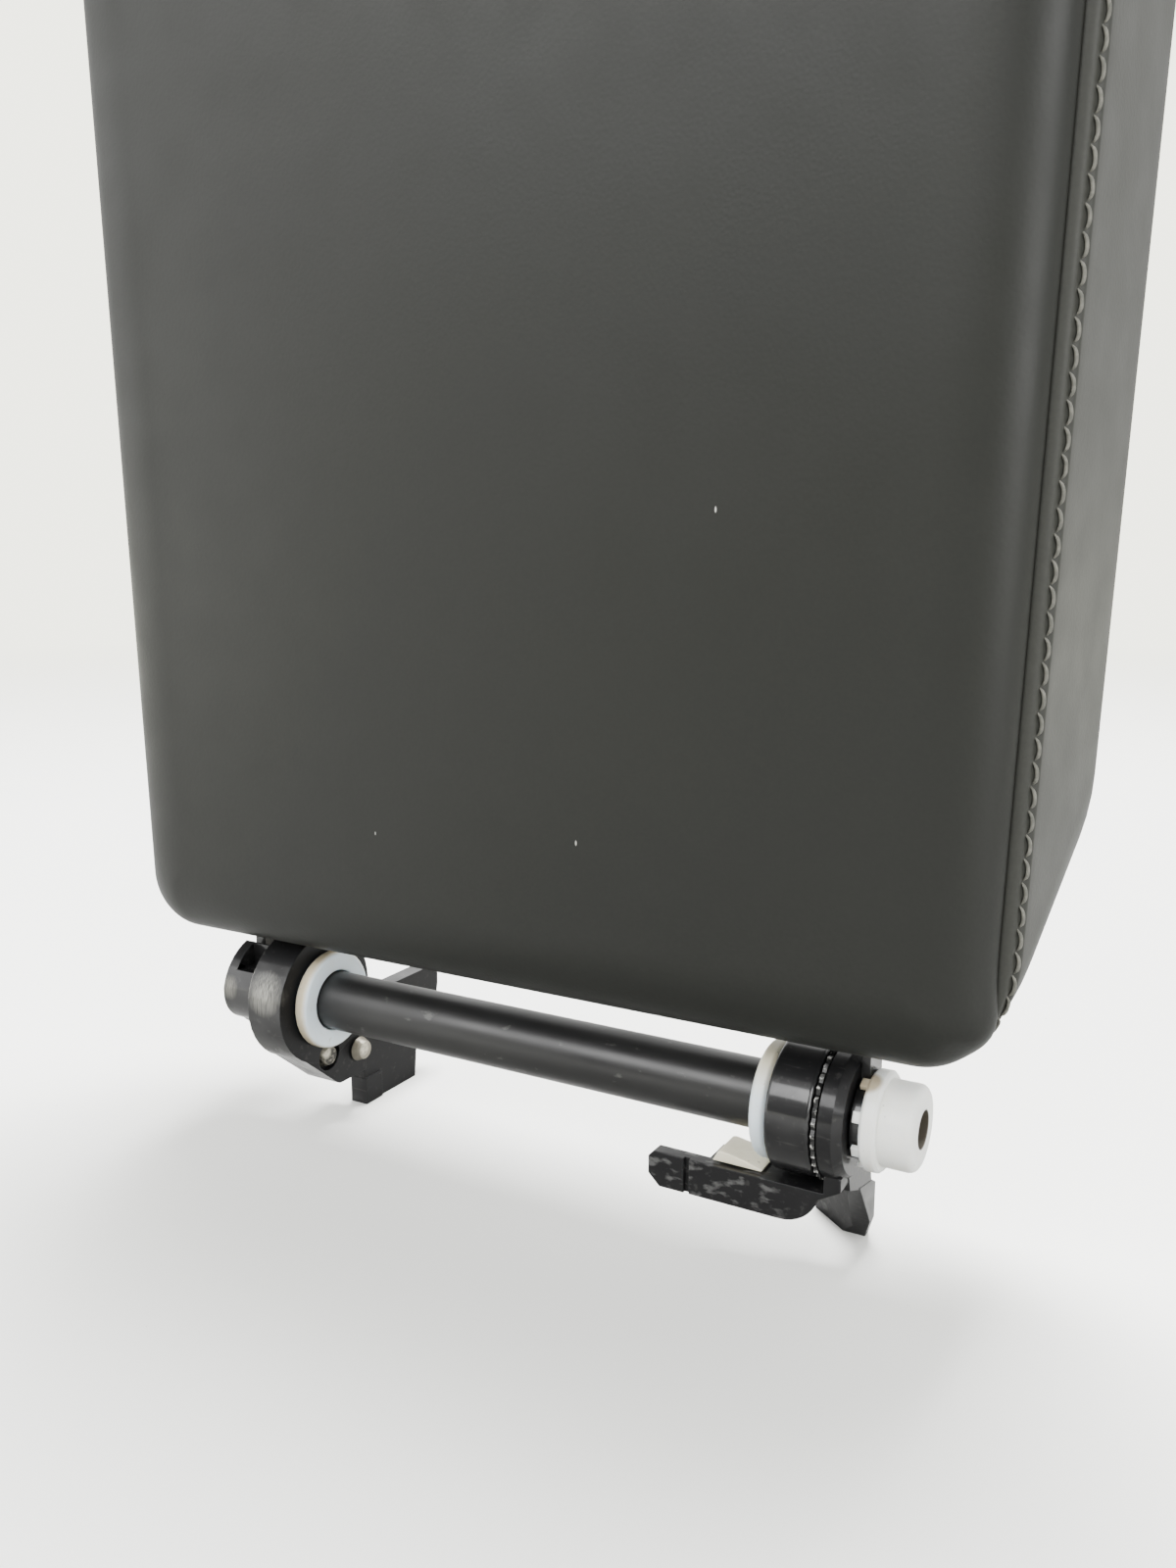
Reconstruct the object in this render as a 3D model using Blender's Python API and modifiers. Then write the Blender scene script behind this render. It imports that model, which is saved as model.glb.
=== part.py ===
"""Center console armrest: a padded lid on a friction hinge, standing open on its hinge end.

Metres, +Z up. X runs along the hinge, with +X to the right of someone facing the cushion.
Y points away from that viewer, and the lid closes toward +Y. Z=0 is the foot plane of the
hinge brackets, and X=Y=0 is the middle of the whole part.
"""

import math

import bmesh
import bpy
from mathutils import Matrix, Vector, geometry

# General
FIT = 0.0003              # gap between pieces that touch or seat
RUN = 0.0003              # radial clearance of a shaft in its bore
ROUND = 40                # segments of a large turned piece
SMALL_ROUND = 24          # segments of a small turned piece
CUT_OVER = 0.002          # how far a cutter runs past the wall
SMOOTH_ANGLE = 32.0       # degrees, sharper edges stay crisp
EDGE_STEPS = 4            # facets of a small rounded edge
HEAD_CROWN = 0.72         # flat top of a pan head, as a share of its radius

# Hinge axis and tube
AXIS_HEIGHT = 0.0337      # hinge axis above the foot plane
TUBE_RADIUS = 0.0070
TUBE_WALL = 0.0022
ROD_RADIUS = 0.0040
SPAN_INSET = 0.0445       # inner face of a bush flange, in from the side of the lid

# Nylon flanged bushes
FLANGE_RADIUS = 0.0119
FLANGE_THICK = 0.0034
SLEEVE_WALL = 0.0018
SLEEVE_LENGTH = 0.0078

# Left bracket
LEFT_BARREL_RADIUS = 0.0161
LEFT_BARREL_WIDTH = 0.0101
LOBE_DEPTH = 0.0240       # lobe tip below the axis
LOBE_FRONT = 0.0020       # lobe tip behind the axis
LOBE_BACK = 0.0120
LOBE_FILLET = 0.0030
WEB_THICK = 0.0045        # plate that stands on the foot plane
WEB_INSET = 0.0008        # web face behind the barrel's inner face
WEB_FRONT = 0.0143        # behind the axis
WEB_FOOT_BACK = 0.0355
WEB_STEP = 0.0070         # height of the upright back edge above the foot
WEB_SHOULDER = 0.0200     # height where the back edge turns upright again
WEB_BACK = 0.0466
WEB_TOP = 0.0290          # top edge above the foot plane
WEB_LAP = 0.8             # share of the lobe that the plate laps
TAB_DEPTH = 0.0064        # raised tab on the plate's front lower corner
TAB_RISE = 0.0070
WEB_LEAN = 0.0007         # slight lean of the upright back edges

# Screws of the left bracket
BRACKET_SCREW_RADIUS = 0.0017
BRACKET_SCREW_HEAD = 0.0031
BRACKET_SCREW_HEAD_THICK = 0.0020
BRACKET_SCREW_LENGTH = 0.0070
SUNK_SCREW_BACK = 0.0005
SUNK_SCREW_DROP = 0.0153
SUNK_DEPTH = 0.0020
PAN_SCREW_BACK = 0.0114
PAN_SCREW_DROP = 0.0172

# Right side of the hinge
RING_RADIUS = 0.0133      # ratchet ring beside the right bush
RING_WIDTH = 0.0092
SERRATION_THICK = 0.0008
SERRATION_TEETH = 36
SERRATION_DEPTH = 0.0005
RIGHT_BARREL_RADIUS = 0.0130
RIGHT_BARREL_WIDTH = 0.0044
RIGHT_BARREL_CHAMFER = 0.0016
FOOT_REACH = 0.0007       # left face of the foot, in from the ring's inner side
FOOT_FRONT = 0.0152
FOOT_BACK = 0.0262
FOOT_SLANT = 0.0105       # how far the slanted front face runs back
HEEL_RISE = 0.0050        # top of the foot's upright back edge
HEEL_LEAN = 0.0015
CALF_RISE = 0.0092        # back edge where it turns toward the barrel
CALF_IN = 0.0050
SLANT_SHARE = 0.62        # share of the slant reached at the foot's left face
HEEL_EDGE = 0.0137        # where the foot's outer face turns in, behind the axis
HEEL_IN = 0.0074          # back corner of the foot, in from its outer face
HEEL_TOP = 0.0142         # top of that slanted face above the foot plane
TOE_IN = 0.0022           # bottom edge of the foot's outer face, bevelled in
TOE_RISE = 0.0060
LEG_TOP_FRONT = 0.0030    # front corner where the leg meets the barrel
LEG_TOP_BACK = 0.0115
LEG_TOP_DROP = 0.0022     # below the ring's clearance
LEG_BACK_DROP = 0.0042
NECK_FRONT = -0.0050      # front corner of the neck beside the barrel
NECK_BACK = 0.0090
NECK_TOP = 0.0075         # below the axis
SHIN_FRONT = 0.0020       # neck front before the foot's front edge
SHIN_RISE = 0.0082
LEVER_REACH = 0.0265      # free end of the lever, in from the ring's inner side
LEVER_TOP = 0.0135        # below the axis
LEVER_DEPTH = 0.0075
LEVER_FRONT = -0.0085     # front face, relative to the axis
LEVER_BACK = 0.0015
LEVER_THICK = 0.0032      # front to back at the free end
LEVER_EDGE = 0.0009       # bevel of its edges
LEVER_BEND = 0.0080       # outer radius of the bend up to the barrel
LEVER_BEND_IN = 0.0122    # centre of the bend, in from the barrel's outer face
LEVER_BEND_END = -15.0    # degrees, where the bend runs out into the root
LEVER_ROOT = 0.0125       # below the axis, where the lever's outer edge meets the barrel
LEVER_GROOVE = 0.0080     # groove from the tip
LEVER_GROOVE_WIDTH = 0.0012
LEVER_GROOVE_DEPTH = 0.0008
LEVER_LAP = 0.75          # share of the barrel radius where the bend joins it
PAD_START = 0.0130        # left end of the pad, in from the ring's inner side
PAD_LENGTH = 0.0107
PAD_FRONT = -0.0068
PAD_BACK = 0.0012
PAD_HEIGHT = 0.0024
PAD_SLOPE = 0.0010

# Arms of the lid
RIGHT_ARM_THICK = 0.0018
RIGHT_ARM_RADIUS = 0.0080
LEFT_ARM_THICK = 0.0030
LEFT_ARM_RADIUS = 0.0098
LEFT_BOSS_RADIUS = 0.0095
LEFT_BOSS_WIDTH = 0.0062
THRUST_WASHER_RADIUS = 0.0150
THRUST_WASHER_THICK = 0.0007
NOSE_RADIUS = 0.0138      # front of the left arm about the axis
NOSE_START = 112.0        # degrees, its upper corner
NOSE_END = 168.0
NOSE_ROUND = 0.0080       # rounded lower front
NOSE_FRONT = 0.0055       # centre of that rounding, in front of the axis
NOSE_RISE = 0.0015
NOSE_NECK = 0.0105        # dip between the nose and the strap, above the axis
NOTCH_RISE = 0.0075       # floor of the notch between the nose plate and the barrel
ARM_STRAP_TURN = 42.0     # degrees above level where the strap leaves the round end
FLANGE_REACH = 0.0125     # arm flange outward from its plate
FLANGE_FOOT = 0.0260      # lower edge of the arm flange above the axis
ARM_TOP = 0.0470
STRAP_TAPER = 0.6         # share of the strap's depth left at its top
ARM_SCREW_RADIUS = 0.0021
ARM_SCREW_HEAD = 0.0042
ARM_SCREW_HEAD_THICK = 0.0022
ARM_SCREW_SPACING = 0.0110

# Friction nut, disc spring and rod head
NUT_FLANGE_RADIUS = 0.0098
NUT_FLANGE_THICK = 0.0032
NUT_CAP_RADIUS = 0.0084
NUT_CAP_LENGTH = 0.0066
NUT_HOLE_RADIUS = 0.0037
NUT_LIP = 0.0030
NUT_DOME = 0.0016
TANG_COUNT = 8
TANG_SIZE = 0.0022
TANG_LENGTH = 0.0014
SPRING_RADIUS = 0.0090
SPRING_THICK = 0.0008
SPRING_CONE = 0.0008
ROD_HEAD_RADIUS = 0.0075
ROD_HEAD_THICK = 0.0028
HEX_RADIUS = 0.0030
HEX_DEPTH = 0.0016

# Lid
LID_HALF_WIDTH = 0.1005   # at the seam between top cover and side cover
LID_LENGTH = 0.3000
LID_END = 0.0175          # hinge end of the lid above the axis
LID_TAPER = 0.083         # growth of the width toward the free end, as a share
CORNER_RADIUS = 0.0130    # plan corner at the seam
LID_FRONT = -0.0200       # flat of the cushion, relative to the axis
LID_BACK = 0.0320         # underside, relative to the axis
CROWN = 0.0015
CROWN_INSET = 0.0300
ROLL_RADIUS = 0.0100      # rolled edge of the top cover
ROLL_TURN = 75.0          # degrees
ROLL_STEPS = 5
LEATHER = 0.0015
SEAM_GAP = 0.0008         # open groove between the two covers
SHOULDER = 0.0030         # rounded edge of the side cover at the groove
FLARE = 0.0040            # each side leans out by this much down to the underside
END_SHARE = 0.2           # share of the shoulder kept at the two ends
END_FLARE = 0.0015        # the same at the two ends
CORNER_FLARE = 0.0360     # growth of the plan corner down to the underside
HEM = 0.0055              # side cover turned in under the base's edge
HEM_ROUND = 0.0030
BASE_WALL = 0.0030
BASE_PLATE = 0.0040
BASE_PLATE_BACK = -0.0020
CORNER_STEPS = 7
BAY_WALL = 0.0055         # side of the lid beside the recess for the hinge
BAY_TOP = 0.0510          # above the axis
RIB_STEPS = 4             # bends of the rib's ends along the flared side
BARREL_GAP = 0.0008       # base plate's end trimmed clear of the left barrel
PANEL_THICK = 0.0026
BOSS_RADIUS = 0.0050
BOSS_INSET = 0.0260       # panel screw from the panel's edges
PANEL_SCREW_RADIUS = 0.0016
PANEL_SCREW_HEAD = 0.0033
PANEL_SCREW_HEAD_THICK = 0.0018
PANEL_SCREW_LENGTH = 0.0090
BUMPER_RADIUS = 0.0060
BUMPER_HEIGHT = 0.0022
BUMPER_STEM = 0.0025
BUMPER_INSET = 0.0170

# Worked out from the above
HALF_SPAN = LID_HALF_WIDTH - SPAN_INSET
BAY_HALF_WIDTH = LID_HALF_WIDTH - BAY_WALL
BORE_BUSH = TUBE_RADIUS + RUN + SLEEVE_WALL + FIT
LEFT_FACE = -(HALF_SPAN + FLANGE_THICK + FIT)
LEFT_BARREL_OUT = LEFT_FACE - LEFT_BARREL_WIDTH
RING_IN = HALF_SPAN + FLANGE_THICK + FIT
RING_OUT = RING_IN + RING_WIDTH
FOOT_LEFT = RING_IN - FOOT_REACH
LEVER_TIP = RING_IN - LEVER_REACH
PAD_LEFT = RING_IN - PAD_START
PAD_RIGHT = PAD_LEFT + PAD_LENGTH
RIGHT_BARREL_IN = RING_OUT + SERRATION_THICK + 2 * FIT
RIGHT_BARREL_OUT = RIGHT_BARREL_IN + RIGHT_BARREL_WIDTH
RIGHT_ARM_IN = RIGHT_BARREL_OUT + FIT
RIGHT_ARM_OUT = RIGHT_ARM_IN + RIGHT_ARM_THICK
NUT_IN = RIGHT_ARM_OUT + FIT
NUT_FLANGE_OUT = NUT_IN + NUT_FLANGE_THICK
NUT_OUT = NUT_FLANGE_OUT + NUT_CAP_LENGTH
LEFT_BOSS_IN = LEFT_BARREL_OUT - THRUST_WASHER_THICK - 2 * FIT
LEFT_ARM_IN = LEFT_BOSS_IN - LEFT_BOSS_WIDTH
LEFT_ARM_OUT = LEFT_ARM_IN - LEFT_ARM_THICK
SPRING_OUT = LEFT_ARM_OUT - FIT - SPRING_THICK - SPRING_CONE
ROD_HEAD_IN = SPRING_OUT - FIT
LID_TOP = LID_END + LID_LENGTH
REACH_FRONT = max(LEFT_BARREL_RADIUS, -LID_FRONT + CROWN)
REACH_BACK = max(WEB_BACK, LID_BACK + BUMPER_HEIGHT)
AXIS_Y = (REACH_FRONT - REACH_BACK) / 2
AXIS = Vector((0.0, AXIS_Y, AXIS_HEIGHT))
PANEL_FOOT = BAY_TOP + BASE_WALL + FIT
SEAM_DEPTH = LID_FRONT + ROLL_RADIUS * (1 - math.cos(math.radians(ROLL_TURN)))
SIDE_TOP = SEAM_DEPTH + SEAM_GAP
BASE_FRONT = BASE_PLATE_BACK - BASE_PLATE
RIM_FRONT = min(SIDE_TOP + LEATHER + FIT, BASE_FRONT - FIT)
RIM_OFFSET = -LEATHER - BASE_WALL - 3 * FIT
BASE_RIM = LID_BACK - LEATHER - FIT
WALL_OFFSET = SHOULDER - LEATHER - FIT
PANEL_FRONT = LID_BACK - PANEL_THICK
ARM_FRONT = BASE_PLATE_BACK + FIT

ALONG_X = Matrix(((0, 0, 1), (1, 0, 0), (0, 1, 0))).to_4x4()
ALONG_Y = Matrix(((1, 0, 0), (0, 0, -1), (0, 1, 0))).to_4x4()

for old in list(bpy.data.objects):
    bpy.data.objects.remove(old, do_unlink=True)

PARTS = bpy.data.collections.new("center_console_armrest")
CUTTERS = bpy.data.collections.new("cutters")
for group in (PARTS, CUTTERS):
    bpy.context.scene.collection.children.link(group)
CUTTERS.hide_render = True


def material(name, colour, roughness, metallic=0.0):
    made = bpy.data.materials.new(name)
    made.use_nodes = True
    shader = made.node_tree.nodes["Principled BSDF"]
    shader.inputs["Base Color"].default_value = (*colour, 1.0)
    shader.inputs["Roughness"].default_value = roughness
    shader.inputs["Metallic"].default_value = metallic
    made.diffuse_color = (*colour, 1.0)
    return made


LEATHER_TOP = material("charcoal_leather", (0.062, 0.064, 0.060), 0.55)
LEATHER_SIDE = material("grey_leather", (0.120, 0.120, 0.112), 0.60)
FOAM = material("foam", (0.35, 0.34, 0.30), 0.95)
MOULDED = material("moulded_plastic", (0.030, 0.030, 0.030), 0.60)
CAST_BLACK = material("cast_black", (0.012, 0.012, 0.012), 0.25, 0.30)
SATIN_BLACK = material("satin_black_tube", (0.020, 0.020, 0.020), 0.40, 0.40)
NYLON_WHITE = material("white_nylon", (0.720, 0.760, 0.780), 0.35)
NYLON_CREAM = material("cream_nylon", (0.680, 0.630, 0.480), 0.30)
STEEL = material("zinc_steel", (0.420, 0.400, 0.360), 0.35, 0.90)
RUBBER = material("rubber", (0.020, 0.020, 0.020), 0.85)

LID_AXIS = bpy.data.objects.new("lid_axis", None)
LID_AXIS.location = AXIS
PARTS.objects.link(LID_AXIS)
BASE_AXIS = bpy.data.objects.new("base_axis", None)
BASE_AXIS.location = AXIS
PARTS.objects.link(BASE_AXIS)


def finished(name, mesh, surface, parent):
    """One piece: its mesh is in hinge coordinates, and its parent sits on the hinge axis."""
    obj = bpy.data.objects.new(name, mesh)
    PARTS.objects.link(obj)
    mesh.materials.clear()
    mesh.materials.append(surface)
    obj.parent = parent
    mesh.shade_smooth()
    mesh.set_sharp_from_angle(angle=math.radians(SMOOTH_ANGLE))
    return obj


def boolean(obj, cutter, operation="DIFFERENCE"):
    """Cuts or joins with a mesh in hinge coordinates, kept as a hidden wire object."""
    tool = bpy.data.objects.new(f"{obj.name}_{operation.lower()}", cutter)
    CUTTERS.objects.link(tool)
    tool.parent = obj.parent
    tool.hide_render = True
    tool.display_type = "WIRE"
    modifier = obj.modifiers.new(operation.title(), "BOOLEAN")
    modifier.operation = operation
    modifier.object = tool
    modifier.solver = "EXACT"
    return obj


def mesh_of(bm, name):
    bmesh.ops.recalc_face_normals(bm, faces=bm.faces)
    mesh = bpy.data.meshes.new(name)
    bm.to_mesh(mesh)
    bm.free()
    return mesh


def cylinder(radius, start, end, back=0.0, rise=0.0, segments=ROUND, radius_end=None):
    """A cylinder or cone along X, from start to end, its axis moved back and up."""
    bm = bmesh.new()
    bmesh.ops.create_cone(
        bm,
        cap_ends=True,
        segments=segments,
        radius1=radius,
        radius2=radius if radius_end is None else radius_end,
        depth=end - start,
        matrix=Matrix.Translation(((start + end) / 2, back, rise)) @ ALONG_X,
    )
    return mesh_of(bm, "cylinder")


def pillar(radius, front, back, x, rise, segments=SMALL_ROUND):
    """A cylinder along Y."""
    bm = bmesh.new()
    bmesh.ops.create_cone(
        bm,
        cap_ends=True,
        segments=segments,
        radius1=radius,
        radius2=radius,
        depth=back - front,
        matrix=Matrix.Translation((x, (front + back) / 2, rise)) @ ALONG_Y,
    )
    return mesh_of(bm, "pillar")


def block(x, y, z):
    """A box from its low and high value on each axis."""
    bm = bmesh.new()
    size = [high - low for low, high in (x, y, z)]
    middle = [(high + low) / 2 for low, high in (x, y, z)]
    bmesh.ops.create_cube(bm, size=1.0, matrix=Matrix.Translation(middle) @ Matrix.Diagonal((*size, 1.0)))
    return mesh_of(bm, "block")


def turned(profile, segments=ROUND):
    """A closed ring of (x, radius) points turned about the hinge axis with a Screw modifier."""
    mesh = bpy.data.meshes.new("profile")
    count = len(profile)
    mesh.from_pydata(
        [(x, radius, 0.0) for x, radius in profile],
        [(i, (i + 1) % count) for i in range(count)],
        [],
    )
    source = bpy.data.objects.new("profile", mesh)
    CUTTERS.objects.link(source)
    screw = source.modifiers.new("Turn", "SCREW")
    screw.axis = "X"
    screw.steps = segments
    screw.render_steps = segments
    screw.use_merge_vertices = True
    screw.merge_threshold = 0.00001
    screw.use_normal_calculate = True
    bpy.context.view_layer.update()
    graph = bpy.context.evaluated_depsgraph_get()
    solid = bpy.data.meshes.new_from_object(source.evaluated_get(graph))
    bpy.data.objects.remove(source, do_unlink=True)
    bm = bmesh.new()
    bm.from_mesh(solid)
    bmesh.ops.remove_doubles(bm, verts=bm.verts, dist=1e-6)
    return mesh_of(bm, "turned")


def flat_outline(points, low, high, turn):
    """A flat outline, as a filled 2D curve with an extrude, turned into the plane of turn."""
    curve = bpy.data.curves.new("outline", "CURVE")
    curve.dimensions = "2D"
    curve.fill_mode = "BOTH"
    curve.extrude = (high - low) / 2
    spline = curve.splines.new("POLY")
    spline.points.add(len(points) - 1)
    for point, (a, b) in zip(spline.points, points):
        point.co = (a, b, 0.0, 1.0)
    spline.use_cyclic_u = True
    source = bpy.data.objects.new("outline", curve)
    CUTTERS.objects.link(source)
    bpy.context.view_layer.update()
    graph = bpy.context.evaluated_depsgraph_get()
    solid = bpy.data.meshes.new_from_object(source.evaluated_get(graph))
    bpy.data.objects.remove(source, do_unlink=True)
    bm = bmesh.new()
    bm.from_mesh(solid)
    bmesh.ops.remove_doubles(bm, verts=bm.verts, dist=1e-6)
    middle = (low + high) / 2
    bmesh.ops.transform(bm, matrix=turn @ Matrix.Translation((0, 0, middle)), verts=bm.verts)
    return mesh_of(bm, "outline")


def side_outline(points, left, right):
    """Points are (back, rise); the solid runs along X from left to right."""
    return flat_outline(points, left, right, ALONG_X)


def front_outline(points, front, back):
    """Points are (x, rise); the solid runs along Y from front to back."""
    return flat_outline(points, -back, -front, ALONG_Y)


def arc(centre, radius, start, end, steps):
    """Points of an arc, angles in degrees."""
    angles = [math.radians(start + (end - start) * i / steps) for i in range(steps + 1)]
    return [(centre[0] + radius * math.cos(a), centre[1] + radius * math.sin(a)) for a in angles]


def flare_at(depth):
    """Share of the flare reached at a depth: none at the seam, all of it at the underside."""
    return min(max((depth - SEAM_DEPTH) / (LID_BACK - SEAM_DEPTH), 0.0), 1.0)


def taper_at(rise):
    """Width of the lid at a rise, as a share of its width at the hinge end."""
    return 1 + LID_TAPER * (rise - LID_END) / LID_LENGTH


def lid_corners(depth, offset):
    """Radius of the lid's plan corners at a depth, and the x and rises of their centres."""
    flare = flare_at(depth)
    radius = max(CORNER_RADIUS + CORNER_FLARE * flare + offset, 0.001)
    side = LID_HALF_WIDTH + FLARE * flare + offset - radius
    end_offset = min(offset, offset * END_SHARE)
    bottom = LID_END - END_FLARE * flare - end_offset + radius
    top = LID_TOP + END_FLARE * flare + end_offset - radius
    return radius, side, bottom, top


def half_width_at(depth, offset, rise):
    """Half the lid's width at a rise in its lower half."""
    radius, side, bottom = lid_corners(depth, offset)[:3]
    below = min(max(bottom - rise, 0.0), radius)
    return (side + math.sqrt(radius * radius - below * below)) * taper_at(rise)


def lid_outline(depth, offset):
    """The lid's plan outline in (x, rise) at a depth, moved outward by offset."""
    radius, side, bottom, top = lid_corners(depth, offset)
    points = []
    for x, z, start in ((side, bottom, -90), (side, top, 0), (-side, top, 90), (-side, bottom, 180)):
        points += arc((x, z), radius, start, start + 90, CORNER_STEPS)
    return [(x * taper_at(z), z) for x, z in points]


def lofted(sections, hollow=False):
    """Joins the lid's outlines at successive (depth, offset) sections with a band of quads.

    The first and last are capped, or joined to each other where the piece is a hollow band.
    """
    bm = bmesh.new()
    rings = []
    for depth, offset in sections:
        rings.append([bm.verts.new((x, depth, z)) for x, z in lid_outline(depth, offset)])
    pairs = list(zip(rings, rings[1:]))
    if hollow:
        pairs.append((rings[-1], rings[0]))
    for first, second in pairs:
        for i in range(len(first)):
            bm.faces.new((first[i - 1], first[i], second[i], second[i - 1]))
    if not hollow:
        bm.faces.new(rings[0])
        bm.faces.new(rings[-1])
    return mesh_of(bm, "loft")


def roll_sections(inset):
    """The rolled edge of the top cover from its crown to the seam, offset inward by inset."""
    turns = [math.radians(ROLL_TURN * i / ROLL_STEPS) for i in range(ROLL_STEPS + 1)]
    widest = ROLL_RADIUS * math.sin(turns[-1])
    radius = ROLL_RADIUS - inset
    middle = LID_FRONT + ROLL_RADIUS
    edge = [(middle - radius * math.cos(turn), radius * math.sin(turn) - widest) for turn in turns]
    return [(LID_FRONT - CROWN + inset, -CROWN_INSET)] + edge


def hull_of_circle(radius, corners, steps=ROUND):
    """Outline in (back, rise) of a circle about the axis joined to a few outer corners."""
    points = [Vector(p) for p in arc((0, 0), radius, 0, 360 - 360 / steps, steps - 1)]
    points += [Vector(c) for c in corners]
    order = geometry.convex_hull_2d(points)
    return [tuple(points[i]) for i in order]


def sector(angle, inner, outer, width, start, end):
    """A small radial block along X at an angle about the axis, in degrees from +Y."""
    bm = bmesh.new()
    size = (end - start, outer - inner, width)
    place = Matrix.Rotation(math.radians(angle), 4, "X") @ Matrix.Translation(
        ((start + end) / 2, (inner + outer) / 2, 0)
    )
    bmesh.ops.create_cube(bm, size=1.0, matrix=place @ Matrix.Diagonal((*size, 1.0)))
    return bm


def bush(name, side):
    """Nylon bush: a flange toward the middle and a sleeve in the bore beyond it."""
    inner = TUBE_RADIUS + RUN
    sleeve = inner + SLEEVE_WALL
    outer = FLANGE_RADIUS
    flange_in = HALF_SPAN
    flange_out = HALF_SPAN + FLANGE_THICK
    end = flange_out + SLEEVE_LENGTH
    round_off = FLANGE_THICK / 5
    profile = [
        (flange_in, inner),
        (flange_in, outer - round_off),
        (flange_in + round_off, outer),
        (flange_out - round_off, outer),
        (flange_out, outer - round_off),
        (flange_out, sleeve),
        (end, sleeve),
        (end, inner),
    ]
    mirrored = [(side * x, radius) for x, radius in profile]
    return finished(name, turned(mirrored), NYLON_WHITE, BASE_AXIS)


def left_bracket():
    barrel = cylinder(LEFT_BARREL_RADIUS, LEFT_BARREL_OUT, LEFT_FACE)
    bracket = finished("left_bracket", barrel, CAST_BLACK, BASE_AXIS)
    tip = (LOBE_FRONT + LOBE_FILLET, LOBE_FILLET - LOBE_DEPTH)
    corners = arc(tip, LOBE_FILLET, 200, 270, EDGE_STEPS)
    corners.append((LOBE_BACK + WEB_THICK / 2, -LOBE_DEPTH))
    lobe = hull_of_circle(LEFT_BARREL_RADIUS - FIT, corners)
    side_in = FIT / 2
    boolean(bracket, side_outline(lobe, LEFT_BARREL_OUT + side_in, LEFT_FACE - side_in), "UNION")
    foot = -AXIS_HEIGHT
    web = [
        (WEB_FRONT, foot),
        (WEB_FOOT_BACK, foot),
        (WEB_FOOT_BACK + WEB_LEAN, foot + WEB_STEP),
        (WEB_BACK - WEB_LEAN, foot + WEB_SHOULDER),
        (WEB_BACK, foot + WEB_SHOULDER + WEB_STEP / 2),
        (WEB_BACK, foot + WEB_TOP),
        (LEFT_BARREL_RADIUS / 2, foot + WEB_TOP),
        (LEFT_BARREL_RADIUS / 2, -LOBE_DEPTH * WEB_LAP),
        (WEB_FRONT, -LOBE_DEPTH * WEB_LAP),
    ]
    web_in = LEFT_FACE - WEB_INSET
    boolean(bracket, side_outline(web, web_in - WEB_THICK, web_in), "UNION")
    tab = block(
        (web_in - WEB_THICK + side_in, LEFT_FACE - side_in),
        (WEB_FRONT - side_in, WEB_FRONT + TAB_DEPTH),
        (foot + side_in, foot + TAB_RISE),
    )
    boolean(bracket, tab, "UNION")
    bore = cylinder(BORE_BUSH, LEFT_BARREL_OUT - CUT_OVER, LEFT_FACE + CUT_OVER)
    boolean(bracket, bore)
    hole_radius = BRACKET_SCREW_RADIUS + RUN
    for back, drop, sunk in (
        (SUNK_SCREW_BACK, SUNK_SCREW_DROP, SUNK_DEPTH),
        (PAN_SCREW_BACK, PAN_SCREW_DROP, 0.0),
    ):
        floor = LEFT_FACE - sunk - BRACKET_SCREW_LENGTH - FIT
        hole = cylinder(hole_radius, floor, LEFT_FACE + CUT_OVER, back, -drop, SMALL_ROUND)
        boolean(bracket, hole)
        if sunk:
            radius = BRACKET_SCREW_HEAD + 2 * FIT
            seat = cylinder(radius, LEFT_FACE - sunk, LEFT_FACE + CUT_OVER, back, -drop, SMALL_ROUND)
            boolean(bracket, seat)
    return bracket


def bracket_screw(name, back, drop, sunk):
    """Pan-head screw along X, its head toward the middle of the hinge."""
    seat = LEFT_FACE - sunk + FIT
    head = cylinder(
        BRACKET_SCREW_HEAD,
        seat,
        seat + BRACKET_SCREW_HEAD_THICK,
        back,
        -drop,
        SMALL_ROUND,
        BRACKET_SCREW_HEAD * HEAD_CROWN,
    )
    screw = finished(name, head, STEEL, BASE_AXIS)
    tip = seat - BRACKET_SCREW_LENGTH
    shank = cylinder(BRACKET_SCREW_RADIUS, tip, seat + FIT, back, -drop, SMALL_ROUND)
    boolean(screw, shank, "UNION")
    return screw


def hinge_tube():
    inner = TUBE_RADIUS - TUBE_WALL
    ends = (LEFT_BARREL_OUT + FIT, RING_OUT - FIT)
    profile = [(ends[0], TUBE_RADIUS), (ends[1], TUBE_RADIUS), (ends[1], inner), (ends[0], inner)]
    return finished("hinge_tube", turned(profile), SATIN_BLACK, BASE_AXIS)


def ratchet_ring():
    edge = RING_WIDTH / 16
    profile = [
        (RING_IN, RING_RADIUS - edge),
        (RING_IN + edge, RING_RADIUS),
        (RING_OUT - edge, RING_RADIUS),
        (RING_OUT, RING_RADIUS - edge),
        (RING_OUT, BORE_BUSH),
        (RING_IN, BORE_BUSH),
    ]
    return finished("ratchet_ring", turned(profile), CAST_BLACK, BASE_AXIS)


def serrated_washer():
    start = RING_OUT + FIT
    points = []
    for flank in range(2 * SERRATION_TEETH):
        radius = RING_RADIUS - SERRATION_DEPTH * (flank % 2)
        angle = math.pi * flank / SERRATION_TEETH
        points.append((radius * math.cos(angle), radius * math.sin(angle)))
    washer = finished(
        "serrated_washer", side_outline(points, start, start + SERRATION_THICK), STEEL, BASE_AXIS
    )
    hole = cylinder(ROD_RADIUS + 2 * RUN, start - CUT_OVER, start + CUT_OVER, segments=SMALL_ROUND)
    boolean(washer, hole)
    return washer


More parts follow.
